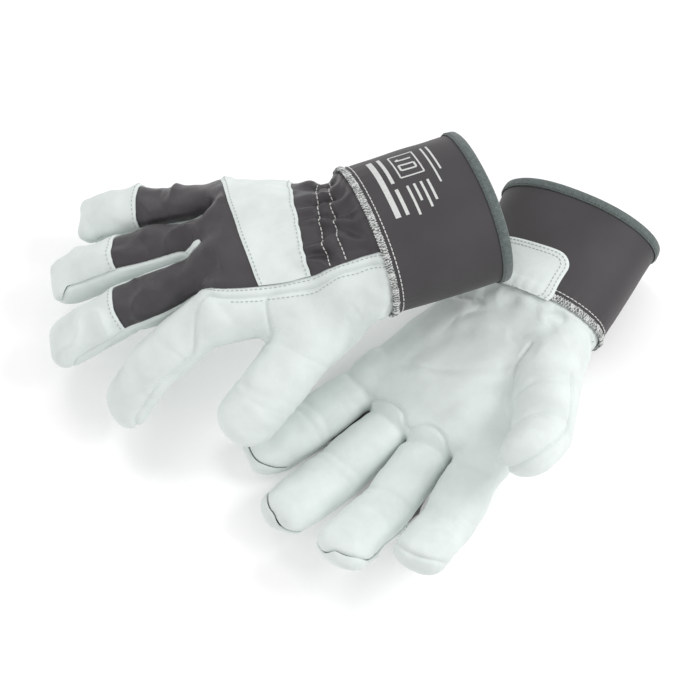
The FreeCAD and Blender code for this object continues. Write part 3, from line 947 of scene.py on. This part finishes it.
def make_skin(hand):
    """The glove's skin, cut along every seam and joint line."""
    rest, quads = surface_net(hand.shape, *SKIN_SPACE, GRID)
    rest = to_surface(hand.shape, rest)
    shape = drape(hand, rest, quads)
    rest, small = refined(rest, quads)
    shape, _ = refined(shape, quads)
    tris = halved(small)
    v = seam_values(hand, rest)
    shape = shape + normals(shape, tris) * sculpt(hand, rest, v)[:, None]
    shape = tucked(hand, shape)
    v["P"], v["N"], v["rest"] = shape, normals(shape, tris), rest
    skin = Skin(v, tris)
    skin.cut("end")
    skin.t = skin.t[skin.at("end") > 0]
    for name in ("wrist", "web0", "web1", "web2", "near_thumb", "back", "edge", "band"):
        skin.cut(name)

    def region():
        return finger_region({k: skin.at(k) for k in ("web0", "web1", "web2")})

    for k, f in enumerate(NAMES):
        for name in ("knuckle_", "mid_", "cap_"):
            skin.cut(name + f, where=(region() == k) & (skin.at("near_thumb") < 0))
    skin.cut("front", where=skin.at("back") > 0)
    skin.cut("strip", where=skin.at("back") > 0)
    skin.cut("palm_seam", where=(skin.at("back") < 0) & (skin.at("near_thumb") < 0))
    for name in ("thumb_low", "thumb_mid"):
        skin.cut(name, where=skin.at("near_thumb") > 0)
    skin.cut("thumb", where=skin.at("x") < 90)
    skin.cut("thumb_side", where=skin.at("thumb") > 0)
    return skin


def seam_edges(skin, panel):
    """Edges that lie between two panels, with the two panels' numbers."""
    e = np.sort(triangle_edges(skin.t), axis=1)
    owner = np.tile(panel, 3)
    code = e[:, 0] * (int(skin.t.max()) + 1) + e[:, 1]
    order = np.argsort(code, kind="stable")
    c, o, e = code[order], owner[order], e[order]
    pair = (c[1:] == c[:-1]) & (o[1:] != o[:-1])
    return e[1:][pair], np.stack([o[1:][pair], o[:-1][pair]], 1)


ZONES = ["wrist", "hand"] + [f"{f}_{part}" for f in NAMES + ["thumb"] for part in ("low", "high")]
FABRICS = ("fabric", "wrist_fabric")
ROWS = {
    "strap": (("wrist", 2.0), ("front", -2.0)),
    "cap": tuple((f"cap_{f}", 1.9) for f in NAMES),
    "index_back": (("edge", -1.7),),
    "palm": (("band", -1.7),),
    "thumb_outer": (("band", -1.7),),
    "wrist_fabric": (("x", ELASTIC - STITCH_GAP), ("x", ELASTIC + STITCH_GAP)),
}


def attach(thing, hand, zone):
    """Rides with the hand's body in the hand zone; a piece in any other zone is baked where it lies."""
    s = hand.name

    def world(place, x):
        return tuple(hand.to_world(place.world(np.array([[x, 0.0, 0.0]])))[0] * MM)

    if zone == 0:
        ends = [world(Place((0, 0, 0), np.eye(3)), x) for x in WRIST_BLEND]
        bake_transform(thing)
        return
    if zone == 1:
        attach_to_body(thing, s + "_hand")
        return
    f = (NAMES + ["thumb"])[(zone - 2) // 2]
    at, length = hand.base[f], hand.lengths[f][0]
    if zone % 2 == 0:
        a, b = (4.0, THUMB_CUT) if f == "thumb" else KNUCKLE_BLEND
        world(at, a)
        world(at, b)
        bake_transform(thing)
    else:
        a, b = (18.0, 34.0) if f == "thumb" else (length + MIDDLE_BLEND[0], length + MIDDLE_BLEND[1])
        world(at, a)
        world(at, b)
        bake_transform(thing)


def stands_for(panel, zone):
    """Which CAD nodes a panel piece is shown in place of."""
    if zone < 2:
        return {
            ("wrist_fabric", 0): ["wrist_fabric"], ("strap", 1): ["knuckle_strap"],
            ("fabric", 1): ["knuckle_fabric"], ("palm", 1): ["palm_panel"],
            ("thumb_outer", 1): ["thumb_root"],
        }.get((panel, zone), [])
    f = (NAMES + ["thumb"])[(zone - 2) // 2]
    low = zone % 2 == 0
    if f == "thumb":
        return [f"thumb_{'base' if low else 'tip'}"] if panel == "thumb_outer" else []
    part = "finger" if low else "tip"
    if panel in ("palm", "front"):
        return [f"{f}_{part}_front"]
    if panel == "cap" or (f == "index" and panel == "index_back"):
        return [f"{f}_tip_cap" if f != "index" else f"index_{part}_back"]
    if panel == "fabric":
        return [f"{f}_finger_back"] if low else []
    return []


def make_panels(hand, looks):
    """The glove's panels, each in one piece for every zone it lies in."""
    skin = make_skin(hand)
    panel, zone = label(skin)
    edges, owners = seam_edges(skin, panel)
    p, n, rest = skin.v["P"], skin.v["N"], skin.v["rest"]
    for k, name in enumerate(PANELS):
        tris = skin.t[panel == k]
        if not len(tris):
            continue
        used = np.unique(tris)
        rim = np.unique(edges[(owners == k).any(1)])
        rim = rim[(rest[rim, 0] > HEEL_X) | (rest[rim, 2] > 0)]
        rise = np.zeros(len(p))
        rise[used] = edge_rise(name, distances(p[used], p[rim]))
        outside = p + n * rise[:, None]
        up = normals(outside, tris)
        cloth = name in FABRICS
        own = looks["fabric"] if cloth else looks["leather"]
        inner = looks["lining"] if cloth else looks["suede"]
        # the leather's stitch thread is greyish and painted darker, so it also carries painted shade from the
        # stitch holes
        mats = [own, inner, looks["thread"] if cloth else looks["thread_grey_and_hole_shade"]]
        sizes = (2.9, 2.2, 0.36, 0.22) if name == "wrist_fabric" else (2.7, 1.7, 0.26, 0.22)
        for z in np.unique(zone[panel == k]):
            part = skin.t[(panel == k) & (zone == z)]
            if len(part) < 6:
                continue
            build = Build()
            add_layer(build, outside, up, part, THICK[name], (0, 1), rest, None, rise)
            for field, level in ROWS.get(name, ()):
                if name == "cap" and field[4:] not in ZONES[z] or field == "band" and z > 1:
                    continue
                rows = part
                if field == "band":
                    rows = part[(skin.v["edge"][part].mean(1) < 1) & (skin.v["x"][part].mean(1) < 90)]
                if len(rows):
                    add_rows(build, outside, up, skin.v[field], rows, level, sizes, 2)
            thing = build.object(f"{hand.name}_{name}_{ZONES[z]}", hand, mats)
            attach(thing, hand, z)
            nodes = [f"{hand.name}_{node}" for node in stands_for(name, z)]
            if nodes:
                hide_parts(*nodes)
    return skin, panel, zone


def add_rows(build, outside, up, values, part, level, sizes, material):
    """Stitches along a level of the values on part of a surface.  Sizes: pitch, length, radius and rise."""
    used, local = np.unique(part, return_inverse=True)
    for line in level_lines(outside[used], up[used], values[used], local.reshape(-1, 3), level):
        build.sew(line, *sizes, material)


# --- cuffs ---------------------------------------------------------------------------------------------
CUFF_WALL, LINING_WALL, BINDING_WIDTH = 1.7, 0.9, 4.6
CUFF_RADIUS = 42.0      # about the cuff's mean radius, for lengths measured round it
AROUND = 224            # steps round the cuff
WELT_AT = 1.2           # the middle of the welt, ahead of the cuff's edge


def cuff_at(hand, x, t):
    """The cuff's outside, in its own axes: x back from the wrist, t once round."""
    s = np.clip(-x / CUFF_LENGTH, -0.12, 1.05)
    (wa, ta), (wb, tb) = hand.g["cuff_wrist"], hand.g["cuff_rim"]
    w, h = wa + (wb - wa) * s, ta + (tb - ta) * s
    c, n = np.cos(t), np.sin(t)
    k = (np.abs(c) ** 2.1 + np.abs(n) ** 2.1) ** (-1 / 2.1)
    p = np.stack([x + 0 * t, w * c * k, h * n * k], -1)
    flat = p.reshape(-1, 3)
    seed = 70 if hand.side > 0 else 80
    dent = 1.5 * noise(flat, 42.0, seed) + 0.5 * noise(flat, 17.0, seed + 1)
    away = smooth(0, -22, flat[:, 0]) * (1 - 0.55 * smooth(-48, -66, flat[:, 0]))
    ripple = np.sin(44 * t.ravel() + 2 * noise(flat, 25.0, 77))
    pucker = 0.22 * ripple * np.exp(np.minimum(flat[:, 0], 0) / 5.0)
    r = (dent * away + pucker)[:, None] * np.stack([0 * c.ravel(), c.ravel(), n.ravel()], -1)
    return (flat + r).reshape(p.shape)


def cuff_frame(hand, x, t):
    """Points and outward normals of the cuff's outside, in the hand's axes."""
    x, t = np.broadcast_arrays(np.asarray(x, float), np.asarray(t, float))
    p = cuff_at(hand, x, t)
    dx = cuff_at(hand, x + 0.4, t) - cuff_at(hand, x - 0.4, t)
    dt = cuff_at(hand, x, t + 0.01) - cuff_at(hand, x, t - 0.01)
    n = unit(np.cross(dt, dx))
    n *= np.sign((n * (p * np.array([0, 1, 1]))).sum(-1))[..., None]
    return hand.cuff.world(p), n @ hand.cuff.r.T


def add_sweep(build, hand, profile, count=AROUND):
    """A closed section, of (x, height above the cuff's outside) points, carried round the cuff."""
    profile = np.array(profile)
    t = np.arange(count) * 2 * math.pi / count
    p, n = cuff_frame(hand, profile[None, :, 0] + 0 * t[:, None], t[:, None] + 0 * profile[None, :, 0])
    p = p + n * profile[None, :, 1, None]
    m = len(profile)
    index = np.arange(count * m).reshape(count, m)
    a, b = np.roll(index, -1, 0), index
    quads = np.stack([b, np.roll(b, -1, 1), np.roll(a, -1, 1), a], -1).reshape(-1, 4)
    pts = p.reshape(-1, 3)
    up = normals(pts, halved(quads))
    middle = p.mean(1)
    if ((pts[0] - middle[0]) * up[0]).sum() < 0:
        quads, up = quads[:, ::-1], -up
    weave = np.stack([np.tile(profile[:, 0], count), np.repeat(t, m) * CUFF_RADIUS], 1)
    build.add(pts, up, quads, 0, None, weave)


def ring_section(x0, x1, low, high, corner=0.45, step=2.2):
    """A rounded rectangle between two x and two heights, walked evenly."""
    count = max(2, int((x1 - x0) / step))
    xs = np.linspace(x0 + corner, x1 - corner, count + 1)
    top = [(x, high) for x in xs]
    bottom = [(x, low) for x in xs[::-1]]
    k = corner * 0.3
    return top + [(x1 - k, high - k), (x1, (low + high) / 2), (x1 - k, low + k)] + bottom + [
        (x0 + k, low + k), (x0, (low + high) / 2), (x0 + k, high - k)]


def cuff_row(hand, x, above):
    """A line once round the cuff, of points and normals."""
    t = np.linspace(0.0, 2 * math.pi, 600)
    p, n = cuff_frame(hand, x + 0 * t, t)
    return p + n * above, n


def finish_cuff_piece(build, name, hand, mats, in_cad=True):
    """Makes the piece, riding on the cuff; most are shown in place of the CAD node of the same name."""
    thing = build.object(f"{hand.name}_{name}", hand, mats)
    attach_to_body(thing, hand.name + "_cuff")
    if in_cad:
        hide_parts(f"{hand.name}_{name}")


def make_shell(hand, looks):
    build = Build()
    add_sweep(build, hand, ring_section(-CUFF_LENGTH, 0.0, -CUFF_WALL, 0.0, 0.4, 1.9))
    build.sew(cuff_row(hand, -3.1, 0.0), 2.6, 2.15, 0.34, 0.3, 1)
    finish_cuff_piece(build, "cuff_shell", hand, [looks["canvas"], looks["thread"]])


def make_lining(hand, looks):
    build = Build()
    top = -CUFF_WALL - 0.05
    add_sweep(build, hand, ring_section(-CUFF_LENGTH + 0.4, 2.0, top - LINING_WALL, top, 0.3, 2.4))
    finish_cuff_piece(build, "cuff_lining", hand, [looks["lining"]])


def make_binding(hand, looks):
    """A tape folded over the rim of the shell and the lining, stitched once round."""
    build = Build()
    depth = CUFF_WALL + LINING_WALL + 0.05
    rim, wall, out = -CUFF_LENGTH, 1.0, 0.12
    back = rim + BINDING_WIDTH
    outer = [(back, out + 0.2), (back - 0.3, out + wall * 0.75)]
    outer += [(rim + x, out + wall + 0.12 * math.sin(x)) for x in (3.7, 2.8, 1.9, 1.0, 0.2)]
    radius = (depth + 2 * (out + wall)) / 2
    turn = np.radians([62, 40, 20, 0, -20, -40, -62])
    nose = [(rim - 1.9 * math.cos(a), -depth / 2 + radius * math.sin(a)) for a in turn]
    inner = [(rim + x, -depth - out - wall) for x in (0.2, 1.5, 2.6, 3.7)]
    inner += [(back - 0.3, -depth - out - wall * 0.75), (back, -depth - out - 0.2)]
    hidden = [(3.0, -depth - out), (1.2, -depth - out), (-0.5, -depth * 0.7), (-0.5, -depth * 0.3),
              (1.2, out), (3.0, out)]
    add_sweep(build, hand, outer + nose + inner + [(rim + x, height) for x, height in hidden], 256)
    build.sew(cuff_row(hand, back - 1.3, out + wall), 2.5, 1.9, 0.24, 0.16, 1)
    finish_cuff_piece(build, "cuff_binding", hand, [looks["binding"], looks["thread_grey"]])


def make_welt(hand, looks):
    """A cord round the wrist seam, overlocked with slanting loops of thread."""
    build = Build()
    a = np.radians(np.arange(0, 360, 24))
    add_sweep(build, hand, [(WELT_AT + 1.9 * math.cos(k), 0.35 + 0.95 * math.sin(k)) for k in a], 240)
    girth = np.linalg.norm(np.diff(cuff_row(hand, WELT_AT, 0.0)[0], axis=0), axis=1).sum()
    loops = int(girth / 0.72)
    bow = np.linspace(0, math.pi, 7)
    for k in range(loops):
        t = 2 * math.pi * (k + 0.15 * math.sin(k * 2.3)) / loops
        lean = (3.4 if k % 2 else -1.6) * 2 * math.pi / loops
        xs = WELT_AT - (1.95 + 0.18 * math.sin(k * 2.9)) * np.cos(bow)
        q, m = cuff_frame(hand, xs, t + lean * (bow / math.pi - 0.5))
        q = q + m * (0.35 + 1.0 * np.sin(bow))[:, None]
        rod = tube_along(q, m, 0.2 + 0.04 * math.sin(k * 1.7))
        build.add(*rod, 1 if (k * 7 + k // 3) % 5 > 1 else 2)
    mats = [looks[key] for key in ("welt", "thread", "thread_grey")]
    finish_cuff_piece(build, "wrist_welt", hand, mats)


def make_cuff(hand, looks):
    make_shell(hand, looks)
    make_lining(hand, looks)
    make_binding(hand, looks)
    make_welt(hand, looks)
    make_patch(hand, looks)
    if hand.side > 0:
        make_print(hand, looks)
    make_label(hand, looks)


def tube_along(points, ups, radius):
    """A six-sided rod along the points, closed at both ends."""
    sides = 6
    t = unit(np.gradient(points, axis=0))
    side = unit(np.cross(ups, t))
    up = np.cross(t, side)
    a = np.arange(sides) * 2 * math.pi / sides
    d = side[:, None] * np.cos(a)[None, :, None] + up[:, None] * np.sin(a)[None, :, None]
    p = points[:, None] + d * radius
    m = len(points)
    index = np.arange(m * sides).reshape(m, sides)
    lo, hi = index[:-1], index[1:]
    quads = np.stack([lo, np.roll(lo, -1, 1), np.roll(hi, -1, 1), hi], -1).reshape(-1, 4)
    first, last = index[0], index[-1]
    ends = np.array([first[[3, 2, 1, 0]], first[[0, 5, 4, 3]], last[[0, 1, 2, 3]], last[[3, 4, 5, 0]]])
    return p.reshape(-1, 3), d.reshape(-1, 3), np.concatenate([quads, ends])


def on_cuff_sheet(hand, inside, x0, x1, y0, y1, step, low, high, face):
    """A closed sheet lying on the cuff: the part of a grid where inside(x, y) > 0 is true.

    y runs round the cuff in millimetres from the middle of the back (face 1) or the palm side (face -1).
    """
    xs, ys = np.arange(x0, x1 + step / 2, step), np.arange(y0, y1 + step / 2, step)
    gx, gy = np.meshgrid(xs, ys, indexing="ij")
    flat, up, tris = grid_triangles(*cuff_frame(hand, gx, face * math.pi / 2 - face * gy / CUFF_RADIUS))
    skin = Skin({"P": flat, "N": up, "in": inside(gx, gy).ravel(), "x": gx.ravel()}, tris)
    skin.cut("in", 0.02)
    skin.t = skin.t[skin.at("in") > 0]
    q = skin.v["P"]
    build = Build()
    d = np.abs(skin.v["in"])
    over = smooth(-3, 0, skin.v["x"]) * smooth(5.2, 3.2, skin.v["x"])
    rise = high - 0.35 * np.exp(-((d / 0.8) ** 2)) + 0.75 * over
    out = q + skin.v["N"] * rise[:, None]
    add_layer(build, out, normals(out, skin.t), skin.t, 0.0, (0, 0), q, None, rise - low)
    return build, skin, out


def rounded_box(x, y, cx, cy, hx, hy, r):
    """Positive inside, in millimetres from the edge."""
    dx, dy = np.abs(x - cx) - (hx - r), np.abs(y - cy) - (hy - r)
    outside = np.hypot(np.maximum(dx, 0), np.maximum(dy, 0)) + np.minimum(np.maximum(dx, dy), 0)
    return r - outside


def make_patch(hand, looks):
    """The leather pulse patch on the cuff's palm side, double stitched."""
    def inside(x, y):
        wave = 0.5 * np.sin(x * 0.31 + 1.0) + 0.4 * np.sin(y * 0.23)
        return rounded_box(x, y, -8.0, -16.0, 18.0, 30.0, 9.0) + 0.35 * wave

    build, skin, out = on_cuff_sheet(hand, inside, -28, 5.2, -50, 18, 1.2, 0.1, 1.35, -1)
    up = normals(out, skin.t)
    for level in (1.9, 4.4):
        add_rows(build, out, up, skin.v["in"], skin.t, level, (2.5, 1.7, 0.26, 0.22), 1)
    finish_cuff_piece(build, "pulse_patch", hand, [looks["leather"], looks["thread_grey_and_hole_shade"]])


DIGITS = {"1": [((0.5, 0), (0.5, 1)), ((0.2, 0.8), (0.5, 1))],
          "0": [((0, 0), (1, 0)), ((1, 0), (1, 1)), ((1, 1), (0, 1)), ((0, 1), (0, 0))]}


def make_print(hand, looks):
    """A plain size mark printed on the back of the cuff: a boxed 10 and some bars."""
    build = Build()

    def bar(x0, y0, x1, y1, width):
        length = math.hypot(x1 - x0, y1 - y0)
        count = max(2, int(length / 1.2))
        s = np.linspace(0, 1, count + 1)
        cx, cy = x0 + (x1 - x0) * s, y0 + (y1 - y0) * s
        px, py = -(y1 - y0) / length * width / 2, (x1 - x0) / length * width / 2
        gx, gy = np.stack([cx - px, cx + px], 1), np.stack([cy - py, cy + py], 1)
        flat, up, tris = grid_triangles(*cuff_frame(hand, gx, math.pi / 2 - gy / CUFF_RADIUS))
        add_layer(build, flat + up * 0.12, up, tris, 0.1, (0, 0))

    # x runs along the cuff, y round it
    for x, y0, y1, width in ((-13, -30, 14, 3.2), (-18.5, -30, -6, 2.0), (-18.5, -2, 14, 2.0)):
        bar(x, y0, x, y1, width)
    box = [(-24, -28), (-38, -28), (-38, -8), (-24, -8)]
    for (xa, ya), (xb, yb) in zip(box, box[1:] + box[:1]):
        bar(xa, ya, xb, yb, 0.9)
    for k, digit in enumerate("10"):
        for (ua, va), (ub, vb) in DIGITS[digit]:
            # a digit's top is towards the fingers and its right is towards +y
            left = -24.5 + k * 7.0
            bar(-35.5 + va * 9, left + ua * 4.4, -35.5 + vb * 9, left + ub * 4.4, 1.2)
    for k, reach in enumerate((16, 9, 14, 11)):
        bar(-25 - k * 4.0, -2, -25 - k * 4.0, reach, 1.4)
    for k, reach in enumerate((2, -6)):
        bar(-43.5 - k * 3.4, -28, -43.5 - k * 3.4, reach, 1.1)
    finish_cuff_piece(build, "cuff_size_mark", hand, [looks["print"]], False)


def make_label(hand, looks):
    """A blank woven tab sewn into the cuff's mouth."""
    xs = np.linspace(-CUFF_LENGTH + 4, -CUFF_LENGTH + 26, 12)
    gx, gt = np.meshgrid(xs, np.linspace(-0.26, 0.26, 14), indexing="ij")
    p, n = cuff_frame(hand, gx, math.pi / 2 + gt)
    depth = CUFF_WALL + LINING_WALL + 0.9 + 1.2 * smooth(-CUFF_LENGTH + 6, -CUFF_LENGTH + 26, gx)
    flat, up, tris = grid_triangles(p - n * depth[..., None], -n)
    build = Build()
    add_layer(build, flat, up, tris, 0.35, (0, 0))
    finish_cuff_piece(build, "care_tab", hand, [looks["lining"]], False)


# --- looks ---------------------------------------------------------------------------------------------
class Nodes:
    """A material and short ways to add its nodes."""

    def __init__(self, name):
        self.material = bpy.data.materials.new(name)
        self.material.use_nodes = True
        self.tree = self.material.node_tree
        self.tree.nodes.clear()
        self.shader = self.add("ShaderNodeBsdfPrincipled")
        self.link(self.shader.outputs[0], self.add("ShaderNodeOutputMaterial").inputs[0])
        self.rest = self.attribute("rest")
        self.weave = self.attribute("weave")

    def add(self, kind):
        return self.tree.nodes.new(kind)

    def link(self, a, b):
        self.tree.links.new(a, b)

    def attribute(self, name):
        n = self.add("ShaderNodeAttribute")
        n.attribute_name = name
        return n.outputs["Vector"]

    def noise(self, scale, detail=3.0, rough=0.5):
        n = self.add("ShaderNodeTexNoise")
        n.inputs["Scale"].default_value = scale
        n.inputs["Detail"].default_value = detail
        n.inputs["Roughness"].default_value = rough
        self.link(self.rest, n.inputs["Vector"])
        return n.outputs["Fac"]

    def cells(self, scale):
        n = self.add("ShaderNodeTexVoronoi")
        n.inputs["Scale"].default_value = scale
        self.link(self.rest, n.inputs["Vector"])
        return n.outputs["Distance"]

    def ramp(self, value, stops):
        n = self.add("ShaderNodeValToRGB")
        while len(n.color_ramp.elements) < len(stops):
            n.color_ramp.elements.new(0.5)
        for e, (at, colour) in zip(n.color_ramp.elements, stops):
            e.position = at
            e.color = (*colour, 1)
        self.link(value, n.inputs[0])
        return n.outputs[0]

    def maths(self, op, a, b=0.0, c=0.0):
        n = self.add("ShaderNodeMath")
        n.operation = op
        for i, x in enumerate((a, b, c)):
            if isinstance(x, (int, float)):
                n.inputs[i].default_value = x
            else:
                self.link(x, n.inputs[i])
        return n.outputs[0]

    def parts(self, where):
        n = self.add("ShaderNodeSeparateXYZ")
        self.link(where, n.inputs[0])
        return n.outputs

    def bump(self, height, distance, strength=1.0, after=None):
        n = self.add("ShaderNodeBump")
        n.inputs["Strength"].default_value = strength
        n.inputs["Distance"].default_value = distance
        self.link(height, n.inputs["Height"])
        if after is not None:
            self.link(after, n.inputs["Normal"])
        self.link(n.outputs[0], self.shader.inputs["Normal"])
        return n.outputs[0]

    def colour(self, socket):
        self.link(socket, self.shader.inputs["Base Color"])

    def set(self, **values):
        for key, value in values.items():
            self.shader.inputs[key.replace("_", " ")].default_value = value


def tone(colour, k):
    return tuple(c * k for c in colour)


def leather_look():
    n = Nodes("leather")
    base = (0.71, 0.765, 0.745)
    mottle = n.noise(55.0, 4.0, 0.55)
    n.colour(n.ramp(mottle, [(0.3, tone(base, 0.93)), (0.5, base), (0.72, tone(base, 1.06))]))
    n.set(Specular_IOR_Level=0.34, Sheen_Weight=0.12, Sheen_Roughness=0.5)
    pores = n.cells(1500.0)
    first = n.bump(n.noise(420.0, 3.0, 0.6), 0.00025, 0.5)
    second = n.bump(pores, 0.00008, 0.5, first)
    n.bump(n.noise(110.0, 2.0), 0.0006, 0.35, second)
    n.link(n.maths("MULTIPLY_ADD", mottle, 0.16, 0.52), n.shader.inputs["Roughness"])
    return n.material


def suede_look():
    n = Nodes("suede")
    n.colour(n.ramp(n.noise(400.0, 4.0), [(0.3, (0.42, 0.46, 0.45)), (0.7, (0.55, 0.6, 0.58))]))
    n.set(Roughness=0.95, Sheen_Weight=0.3)
    n.bump(n.noise(1500.0), 0.0002, 0.6)
    return n.material


def weave_look(name, base, period, rough, sheen, strength):
    """Twill: fine diagonal ribs over the cloth."""
    n = Nodes(name)
    x, y, z = n.parts(n.rest)
    k = 2 * math.pi / period
    diagonal = n.maths("SINE", n.maths("MULTIPLY", n.maths("ADD", x, n.maths("ADD", y, z)), k))
    across = n.maths("SINE", n.maths("MULTIPLY", n.maths("SUBTRACT", x, y), k * 1.7))
    weave = n.maths("ADD", diagonal, n.maths("MULTIPLY", across, 0.5))
    shade = n.noise(70.0, 4.0)
    mix = n.maths("MULTIPLY_ADD", weave, 0.06, shade)
    n.colour(n.ramp(mix, [(0.25, tone(base, 0.82)), (0.5, base), (0.75, tone(base, 1.16))]))
    n.set(Roughness=rough, Specular_IOR_Level=0.4, Sheen_Weight=sheen, Sheen_Roughness=0.35)
    first = n.bump(weave, 0.00006, strength)
    n.bump(n.noise(160.0, 3.0), 0.0005, 0.35, first)
    return n.material


def canvas_look():
    n = Nodes("cuff_canvas")
    base = (0.053, 0.049, 0.052)
    n.colour(n.ramp(n.noise(28.0, 3.0), [(0.3, tone(base, 0.9)), (0.7, tone(base, 1.1))]))
    n.set(Roughness=0.55, Specular_IOR_Level=0.3, Sheen_Weight=0.05)
    u, v, _ = n.parts(n.weave)
    a = n.maths("SINE", n.maths("MULTIPLY", u, 2 * math.pi / 0.0007))
    b = n.maths("SINE", n.maths("MULTIPLY", v, 2 * math.pi / 0.0007))
    first = n.bump(n.maths("MULTIPLY", a, b), 0.00003, 0.6)
    n.bump(n.noise(600.0, 3.0), 0.0001, 0.25, first)
    return n.material


def binding_look():
    n = Nodes("binding")
    base = (0.105, 0.132, 0.126)
    u, v, _ = n.parts(n.weave)
    ribs = n.maths("SINE", n.maths("MULTIPLY", v, 2 * math.pi / 0.0011))
    mix = n.maths("MULTIPLY_ADD", ribs, 0.1, n.noise(500.0, 3.0))
    n.colour(n.ramp(mix, [(0.3, tone(base, 0.75)), (0.55, base), (0.8, tone(base, 1.3))]))
    n.set(Roughness=0.8, Sheen_Weight=0.2)
    n.bump(ribs, 0.00012, 0.7)
    return n.material


def welt_look():
    n = Nodes("welt")
    stops = [(0.42, (0.10, 0.10, 0.10)), (0.52, (0.40, 0.42, 0.41)), (0.6, (0.66, 0.68, 0.66))]
    n.colour(n.ramp(n.noise(900.0, 2.0, 0.7), stops))
    n.set(Roughness=0.85, Sheen_Weight=0.3)
    n.bump(n.noise(1400.0), 0.0003, 0.8)
    return n.material


def plain_look(name, colour, rough=0.7, grain=1600.0, depth=0.0001, sheen=0.15):
    n = Nodes(name)
    n.colour(n.ramp(n.noise(grain * 0.5, 3.0), [(0.3, tone(colour, 0.85)), (0.7, tone(colour, 1.1))]))
    n.set(Roughness=rough, Sheen_Weight=sheen)
    n.bump(n.noise(grain, 3.0), depth, 0.6)
    return n.material


def make_looks():
    return {
        "leather": leather_look(),
        "suede": suede_look(),
        "fabric": weave_look("drill_fabric", (0.052, 0.047, 0.051), 0.0011, 0.36, 0.16, 0.6),
        "canvas": canvas_look(),
        "binding": binding_look(),
        "welt": welt_look(),
        "thread": plain_look("thread_white", (0.72, 0.73, 0.71), 0.6),
        # greyish thread for the leather, painted darker than the leather so it also carries painted shade
        # from the stitch holes
        "thread_grey_and_hole_shade": plain_look("thread_soft", (0.44, 0.48, 0.47), 0.7),
        "thread_grey": plain_look("thread_grey", (0.10, 0.11, 0.11), 0.7),
        "lining": plain_look("lining_fleece", (0.56, 0.56, 0.52), 0.95, 900.0, 0.0004, 0.4),
        "print": plain_look("print_white", (0.62, 0.63, 0.62), 0.6, 2500.0, 0.00002, 0.0),
        "elastic": plain_look("elastic_tape", (0.6, 0.6, 0.57), 0.8),
    }


# --- build -----------------------------------------------------------------------------------------------
def make_inner_layers(hand, skin, panel, zone, looks):
    """The palm's cotton lining and the elastic tape under the wrist fabric."""
    p, n, rest = skin.v["P"], skin.v["N"], skin.v["rest"]
    palm = PANELS.index("palm")
    t = skin.t[(panel == palm) & (zone == 1) & (skin.at("near_thumb") < 0)]
    build = Build()
    add_layer(build, p - n * 1.75, n, t, 0.6, (0, 0), rest)
    thing = build.object(f"{hand.name}_palm_lining", hand, [looks["lining"]])
    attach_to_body(thing, hand.name + "_hand")
    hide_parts(hand.name + "_palm_lining")
    x = skin.at("x")
    t = skin.t[(panel == PANELS.index("wrist_fabric")) & (np.abs(x - ELASTIC) < 4.2) & (skin.at("back") > 3)]
    build = Build()
    add_layer(build, p - n * 1.3, n, t, 0.9, (0, 0), rest)
    thing = build.object(f"{hand.name}_wrist_elastic", hand, [looks["elastic"]])
    attach(thing, hand, 0)
    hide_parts(hand.name + "_wrist_elastic")


looks = make_looks()
for side_name in GLOVES:
    glove = Hand(side_name)
    glove_skin, panels, zones = make_panels(glove, looks)
    make_inner_layers(glove, glove_skin, panels, zones, looks)
    make_cuff(glove, looks)

for name, node in frame["nodes"].items():
    kind = "cuff_canvas" if "cuff" in name else "leather"
    node.data.materials.clear()
    node.data.materials.append(bpy.data.materials[kind])


# --- stage -----------------------------------------------------------------------------------------------
def make_floor():
    """A pale floor just under the gloves, lit a little by itself."""
    thing = new_object("floor", GROUND * FLOOR + np.array([0, 0, -0.3]), ONE_FACE)
    n = Nodes("floor")
    n.set(Base_Color=(0.9, 0.9, 0.9, 1), Roughness=0.9, Specular_IOR_Level=0.1)
    n.set(Emission_Strength=0.16, Emission_Color=(1, 1, 1, 1))
    thing.data.materials.append(n.material)


def soft_light(name, place, size, power):
    lamp = bpy.data.lights.new(name, "AREA")
    lamp.shape = "DISK"
    lamp.size = size
    lamp.energy = power
    thing = place_object(name, lamp)
    thing.location = place
    thing.rotation_euler = (Vector(aim) - Vector(place)).to_track_quat("-Z", "Y").to_euler()


FLOOR = 3000.0
make_floor()
aim = (-0.00424, 0.02903, 0.0)
soft_light("key", (-0.5, 1.0, 1.4), 0.6, 4.0)
soft_light("fill", (1.4, 0.1, 1.3), 0.8, 13.0)
soft_light("front", (-0.6, -1.3, 0.9), 1.2, 1.5)
sky = bpy.data.worlds.new("studio")
sky.use_nodes = True
background = sky.node_tree.nodes["Background"]
background.inputs["Color"].default_value = (1, 1, 1, 1)
background.inputs["Strength"].default_value = 0.78
bpy.context.scene.world = sky
bpy.context.scene.view_settings.view_transform = "Standard"

ELEVATION, DISTANCE, WIDTH_SEEN, SENSOR = math.radians(66.0), 1.2, 0.42, 36.0
lens = bpy.data.cameras.new("camera")
lens.sensor_width = SENSOR
lens.lens = SENSOR * DISTANCE / WIDTH_SEEN
eye = place_object("camera", lens)
eye.location = Vector(aim) + DISTANCE * Vector((0, -math.cos(ELEVATION), math.sin(ELEVATION)))
eye.rotation_euler = (math.pi / 2 - ELEVATION, 0, 0)
bpy.context.scene.camera = eye
